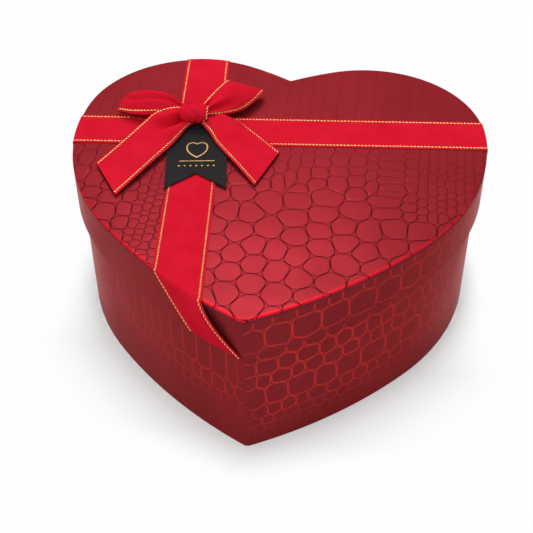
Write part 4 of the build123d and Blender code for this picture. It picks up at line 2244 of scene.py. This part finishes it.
@dataclass
class Tag:
    """Swallow-tailed card under the bow, with a plain gold heart and rule."""

    centre: Vector
    low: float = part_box("gift_tag")[0].z
    card: float = 0.4 * MM
    width: float = 31.5 * MM
    length: float = 59.0 * MM
    behind: float = 8.0 * MM
    notch: float = 12.5 * MM
    turn: float = math.radians(8.0)
    edge: float = 0.08 * MM
    foil: float = 0.03 * MM
    rule_width: float = 18.5 * MM
    rule_line: float = 0.5 * MM
    rule_at: float = -28.5 * MM
    heart_scale: Pair = (0.052, 0.064)
    heart_line: float = 0.7 * MM
    heart_at: float = -19.0 * MM
    dots_at: float = -32.5 * MM
    dot_radius: float = 0.5 * MM
    dot_pitch: float = 3.0 * MM
    dots: int = 7
    heart_steps: int = 96
    dot_sides: int = 16
    sharp_above: float = 40.0

    def placed(self, x: float, y: float, z: float) -> Vector:
        """Place on the box of a place on the card.

        Args:
            x: Across the card.
            y: Along it, towards the notch.
            z: Height on the box.

        Returns:
            The place.
        """
        way = unit(self.turn)
        plan = self.centre + way * x + Vector((-way.y, way.x)) * y
        return Vector((plan.x, plan.y, z))

    def card_mesh(self) -> Mesh:
        """The card, with its edges eased.

        Returns:
            Its mesh.
        """
        half = self.width / 2
        foot = self.behind - self.length
        left = ((-half, self.behind), (-half, foot))
        right = ((half, foot), (half, self.behind))
        outline = (*left, (0, foot + self.notch), *right)
        sheet = bmesh.new()
        face = sheet.faces.new([sheet.verts.new(self.placed(x, y, self.low)) for x, y in outline])
        made = bmesh.ops.extrude_face_region(sheet, geom=[face])["geom"]
        for vert in (item for item in made if isinstance(item, bmesh.types.BMVert)):
            vert.co.z += self.card
        bmesh.ops.recalc_face_normals(sheet, faces=sheet.faces)
        bmesh.ops.bevel(sheet, geom=sheet.edges[:], offset=self.edge, segments=2, affect="EDGES")
        mesh = bpy.data.meshes.new("swallow_tag")
        sheet.to_mesh(mesh)
        sheet.free()
        shade_smooth(mesh, self.sharp_above)
        return mesh

    def foil_mesh(self) -> Mesh:
        """Gold foil on the card: a heart, a rule and a row of dots.

        Returns:
            Its mesh.
        """
        sheet = bmesh.new()
        heart = HeartOutline()
        wide, tall = self.heart_scale
        rings = []
        for depth in (0.0, self.heart_line / wide):
            places = heart.spaced(self.heart_steps, depth)
            rings.append([(place.x * wide, place.y * tall + self.heart_at) for place, _ in places])
        self.raise_foil(sheet, *rings)
        half = self.rule_width / 2
        low = self.rule_at - self.rule_line / 2
        high = self.rule_at + self.rule_line / 2
        self.raise_foil(sheet, [(-half, low), (half, low), (half, high), (-half, high)])
        for index in range(self.dots):
            middle = Vector(((index - (self.dots - 1) / 2) * self.dot_pitch, self.dots_at))
            turns = (2 * math.pi * step / self.dot_sides for step in range(self.dot_sides))
            self.raise_foil(sheet, [tuple(middle + unit(turn) * self.dot_radius) for turn in turns])
        bmesh.ops.recalc_face_normals(sheet, faces=sheet.faces)
        mesh = bpy.data.meshes.new("tag_foil")
        sheet.to_mesh(mesh)
        sheet.free()
        return mesh

    def raise_foil(
        self, sheet: bmesh.types.BMesh, outline: list[Pair], hole: Sequence[Pair] = ()
    ) -> None:
        """Add a thin piece of foil.

        Args:
            sheet: Mesh that grows.
            outline: The foil's outline on the card.
            hole: Outline of its hole, with as many places, if it has one.
        """
        low = self.low + self.card
        high = low + self.foil
        levels = [(outline, low), (outline, high)]
        if hole:
            levels += [(hole, high), (hole, low)]
        loops = [[sheet.verts.new(self.placed(x, y, z)) for x, y in places] for places, z in levels]
        for loop, following in paired(loops) if hole else pairwise(loops):
            for index in range(len(outline)):
                sheet.faces.new((loop[index - 1], loop[index], following[index], following[index - 1]))
        if not hole:
            sheet.faces.new(loops[0][::-1])
            sheet.faces.new(loops[1])

    def build(self) -> None:
        """Make and dress the tag."""
        add_piece(self.card_mesh(), Body.LID, [TAG_CARD], ["gift_tag"])
        add_piece(self.foil_mesh(), Body.LID, [GOLD_FOIL])


@dataclass(frozen=True)
class Carcass:
    """Boards, tapes, linings and glue that keep their CAD shapes."""

    finishes: tuple[tuple[Finish, tuple[str, ...]], ...] = (
        (GREY_BOARD, ("base_floor_board", "base_wall_left", "base_wall_right")),
        (GREY_BOARD, ("lid_top_board", "lid_rim_left", "lid_rim_right")),
        (KRAFT_TAPE, ("base_tip_tape", "base_notch_tape", "lid_tip_tape", "lid_notch_tape")),
        (LINING, ("base_wall_lining", "base_floor_lining", "lid_rim_lining", "lid_top_lining")),
        (BOTTOM_PAPER, ("base_bottom_sheet",)),
        (PAD_FOAM, ("bow_glue_pad",)),
        (SET_GLUE, ("tag_glue_dot",)),
    )

    def dress(self) -> None:
        """Give each CAD node its finish."""
        for finish, names in self.finishes:
            for name in names:
                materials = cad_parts[name].data.materials
                materials.clear()
                materials.append(finish.material())
                LOG.info("%s: %s", name, finish.name)


@dataclass(frozen=True)
class Lamp:
    """Soft square lamp that faces the box: where it hangs, its side in metres and its power in watts."""

    name: str
    place: Triple
    size: float
    power: float

    def hang(self) -> None:
        """Hang the lamp."""
        data = bpy.data.lights.new(self.name, "AREA")
        data.size = self.size
        data.energy = self.power
        lamp = bpy.data.objects.new(self.name, data)
        lamp.location = self.place
        lamp.rotation_euler = Vector(self.place).to_track_quat("Z", "Y").to_euler()
        bpy.context.scene.collection.objects.link(lamp)


@dataclass
class Studio:
    """Plain floor, soft light and the camera."""

    target: Triple = (-4.4 * MM, 11.2 * MM, 19.3 * MM)
    distance: float = 622.4 * MM
    azimuth: float = math.radians(7.63)
    elevation: float = math.radians(42.78)
    roll: float = math.radians(-0.43)
    lens: float = 74.2
    sensor: float = 36.0
    floor_half: float = 4.0
    floor_near: float = 0.2
    floor_steps: int = 80
    floor_marks: int = 400
    shadow_range: Pair = (-95 * MM, -40 * MM)
    shadow_fade: float = 30 * MM
    ambient: float = 0.40
    lamps: tuple[Lamp, ...] = (
        Lamp("key_lamp", (-0.10, 0.46, 0.75), 0.32, 1.9),
        Lamp("fill_lamp", (-0.66, -0.68, 0.60), 0.9, 1.9),
        Lamp("top_lamp", (0.0, -0.15, 1.0), 1.0, 3.65),
    )

    def thinning(self, y: float) -> float:
        """How many times sooner the painted shadow round the box fades at a y: once within its range, and
        more outside it.
        """
        return 1 + max(self.shadow_range[0] - y, y - self.shadow_range[1], 0.0) / self.shadow_fade

    def floor(self) -> None:
        """Lay the floor, whose points hold their distance from the box, times the painted shadow's thinning.
        """
        finder = finder_of([place for place, _ in BASE_OUTLINE.spaced(self.floor_marks)])
        steps = [2 * index / self.floor_steps - 1 for index in range(self.floor_steps + 1)]
        lines = [-self.floor_half, *(self.floor_near * step for step in steps), self.floor_half]
        points = [Vector((x, y, 0)) for y in lines for x in lines]
        wide = len(lines)
        corners = [row * wide + column for row in range(wide - 1) for column in range(wide - 1)]
        faces = [(first, first + 1, first + wide + 1, first + wide) for first in corners]
        mesh = bpy.data.meshes.new("studio_floor")
        mesh.from_pydata(points, [], faces)
        aways = [finder.find(point)[2] * self.thinning(point.y) for point in points]
        mesh.attributes.new(AWAY, "FLOAT", "POINT").data.foreach_set("value", aways)
        mesh.materials.append(StudioFloor("studio_floor").material())
        floor = bpy.data.objects.new("studio_floor", mesh)
        bpy.context.scene.collection.objects.link(floor)

    def world(self) -> None:
        """Even light from all round, seen as white."""
        world = bpy.data.worlds.new("studio")
        bpy.context.scene.world = world
        world.use_nodes = True
        web = NodeWeb(world.node_tree)
        light = web.nodes["Background"]
        web.put(light.inputs["Color"], (1, 1, 1))
        web.put(light.inputs["Strength"], self.ambient)
        white = web.add("Background", {"Color": (1, 1, 1)})
        mixed = web.add("MixShader", {0: web.shown(), 1: light.outputs[0], 2: white})
        web.put(web.nodes["World Output"].inputs["Surface"], mixed)

    def camera(self) -> None:
        """Set the camera at the photograph's viewing angle."""
        level = math.cos(self.elevation)
        back = Vector(
            (math.sin(self.azimuth) * level, -math.cos(self.azimuth) * level, math.sin(self.elevation))
        )
        side = Vector((math.cos(self.azimuth), math.sin(self.azimuth), 0.0))
        rise = back.cross(side)
        right = side * math.cos(self.roll) + rise * math.sin(self.roll)
        up = back.cross(right)
        data = bpy.data.cameras.new("camera")
        data.lens = self.lens
        data.sensor_width = self.sensor
        camera = bpy.data.objects.new("camera", data)
        camera.matrix_world = Matrix.Translation(Vector(self.target) + back * self.distance) @ Matrix(
            (right, up, back)
        ).transposed().to_4x4()
        bpy.context.scene.collection.objects.link(camera)
        bpy.context.scene.camera = camera

    def build(self) -> None:
        """Set the studio up."""
        self.floor()
        self.world()
        for lamp in self.lamps:
            lamp.hang()
        self.camera()
        bpy.context.scene.view_settings.view_transform = "Standard"


def main() -> None:
    """Dress the box and set up the studio."""
    logging.basicConfig(level=logging.INFO, format="%(name)s %(message)s")
    Studio().build()
    Carcass().dress()
    Papers().build()
    bands = Bands()
    bands.build()
    Bow(bands.crossing, bands.lid_top).build()
    Tag(bands.crossing).build()


if __name__ == "__main__":
    main()
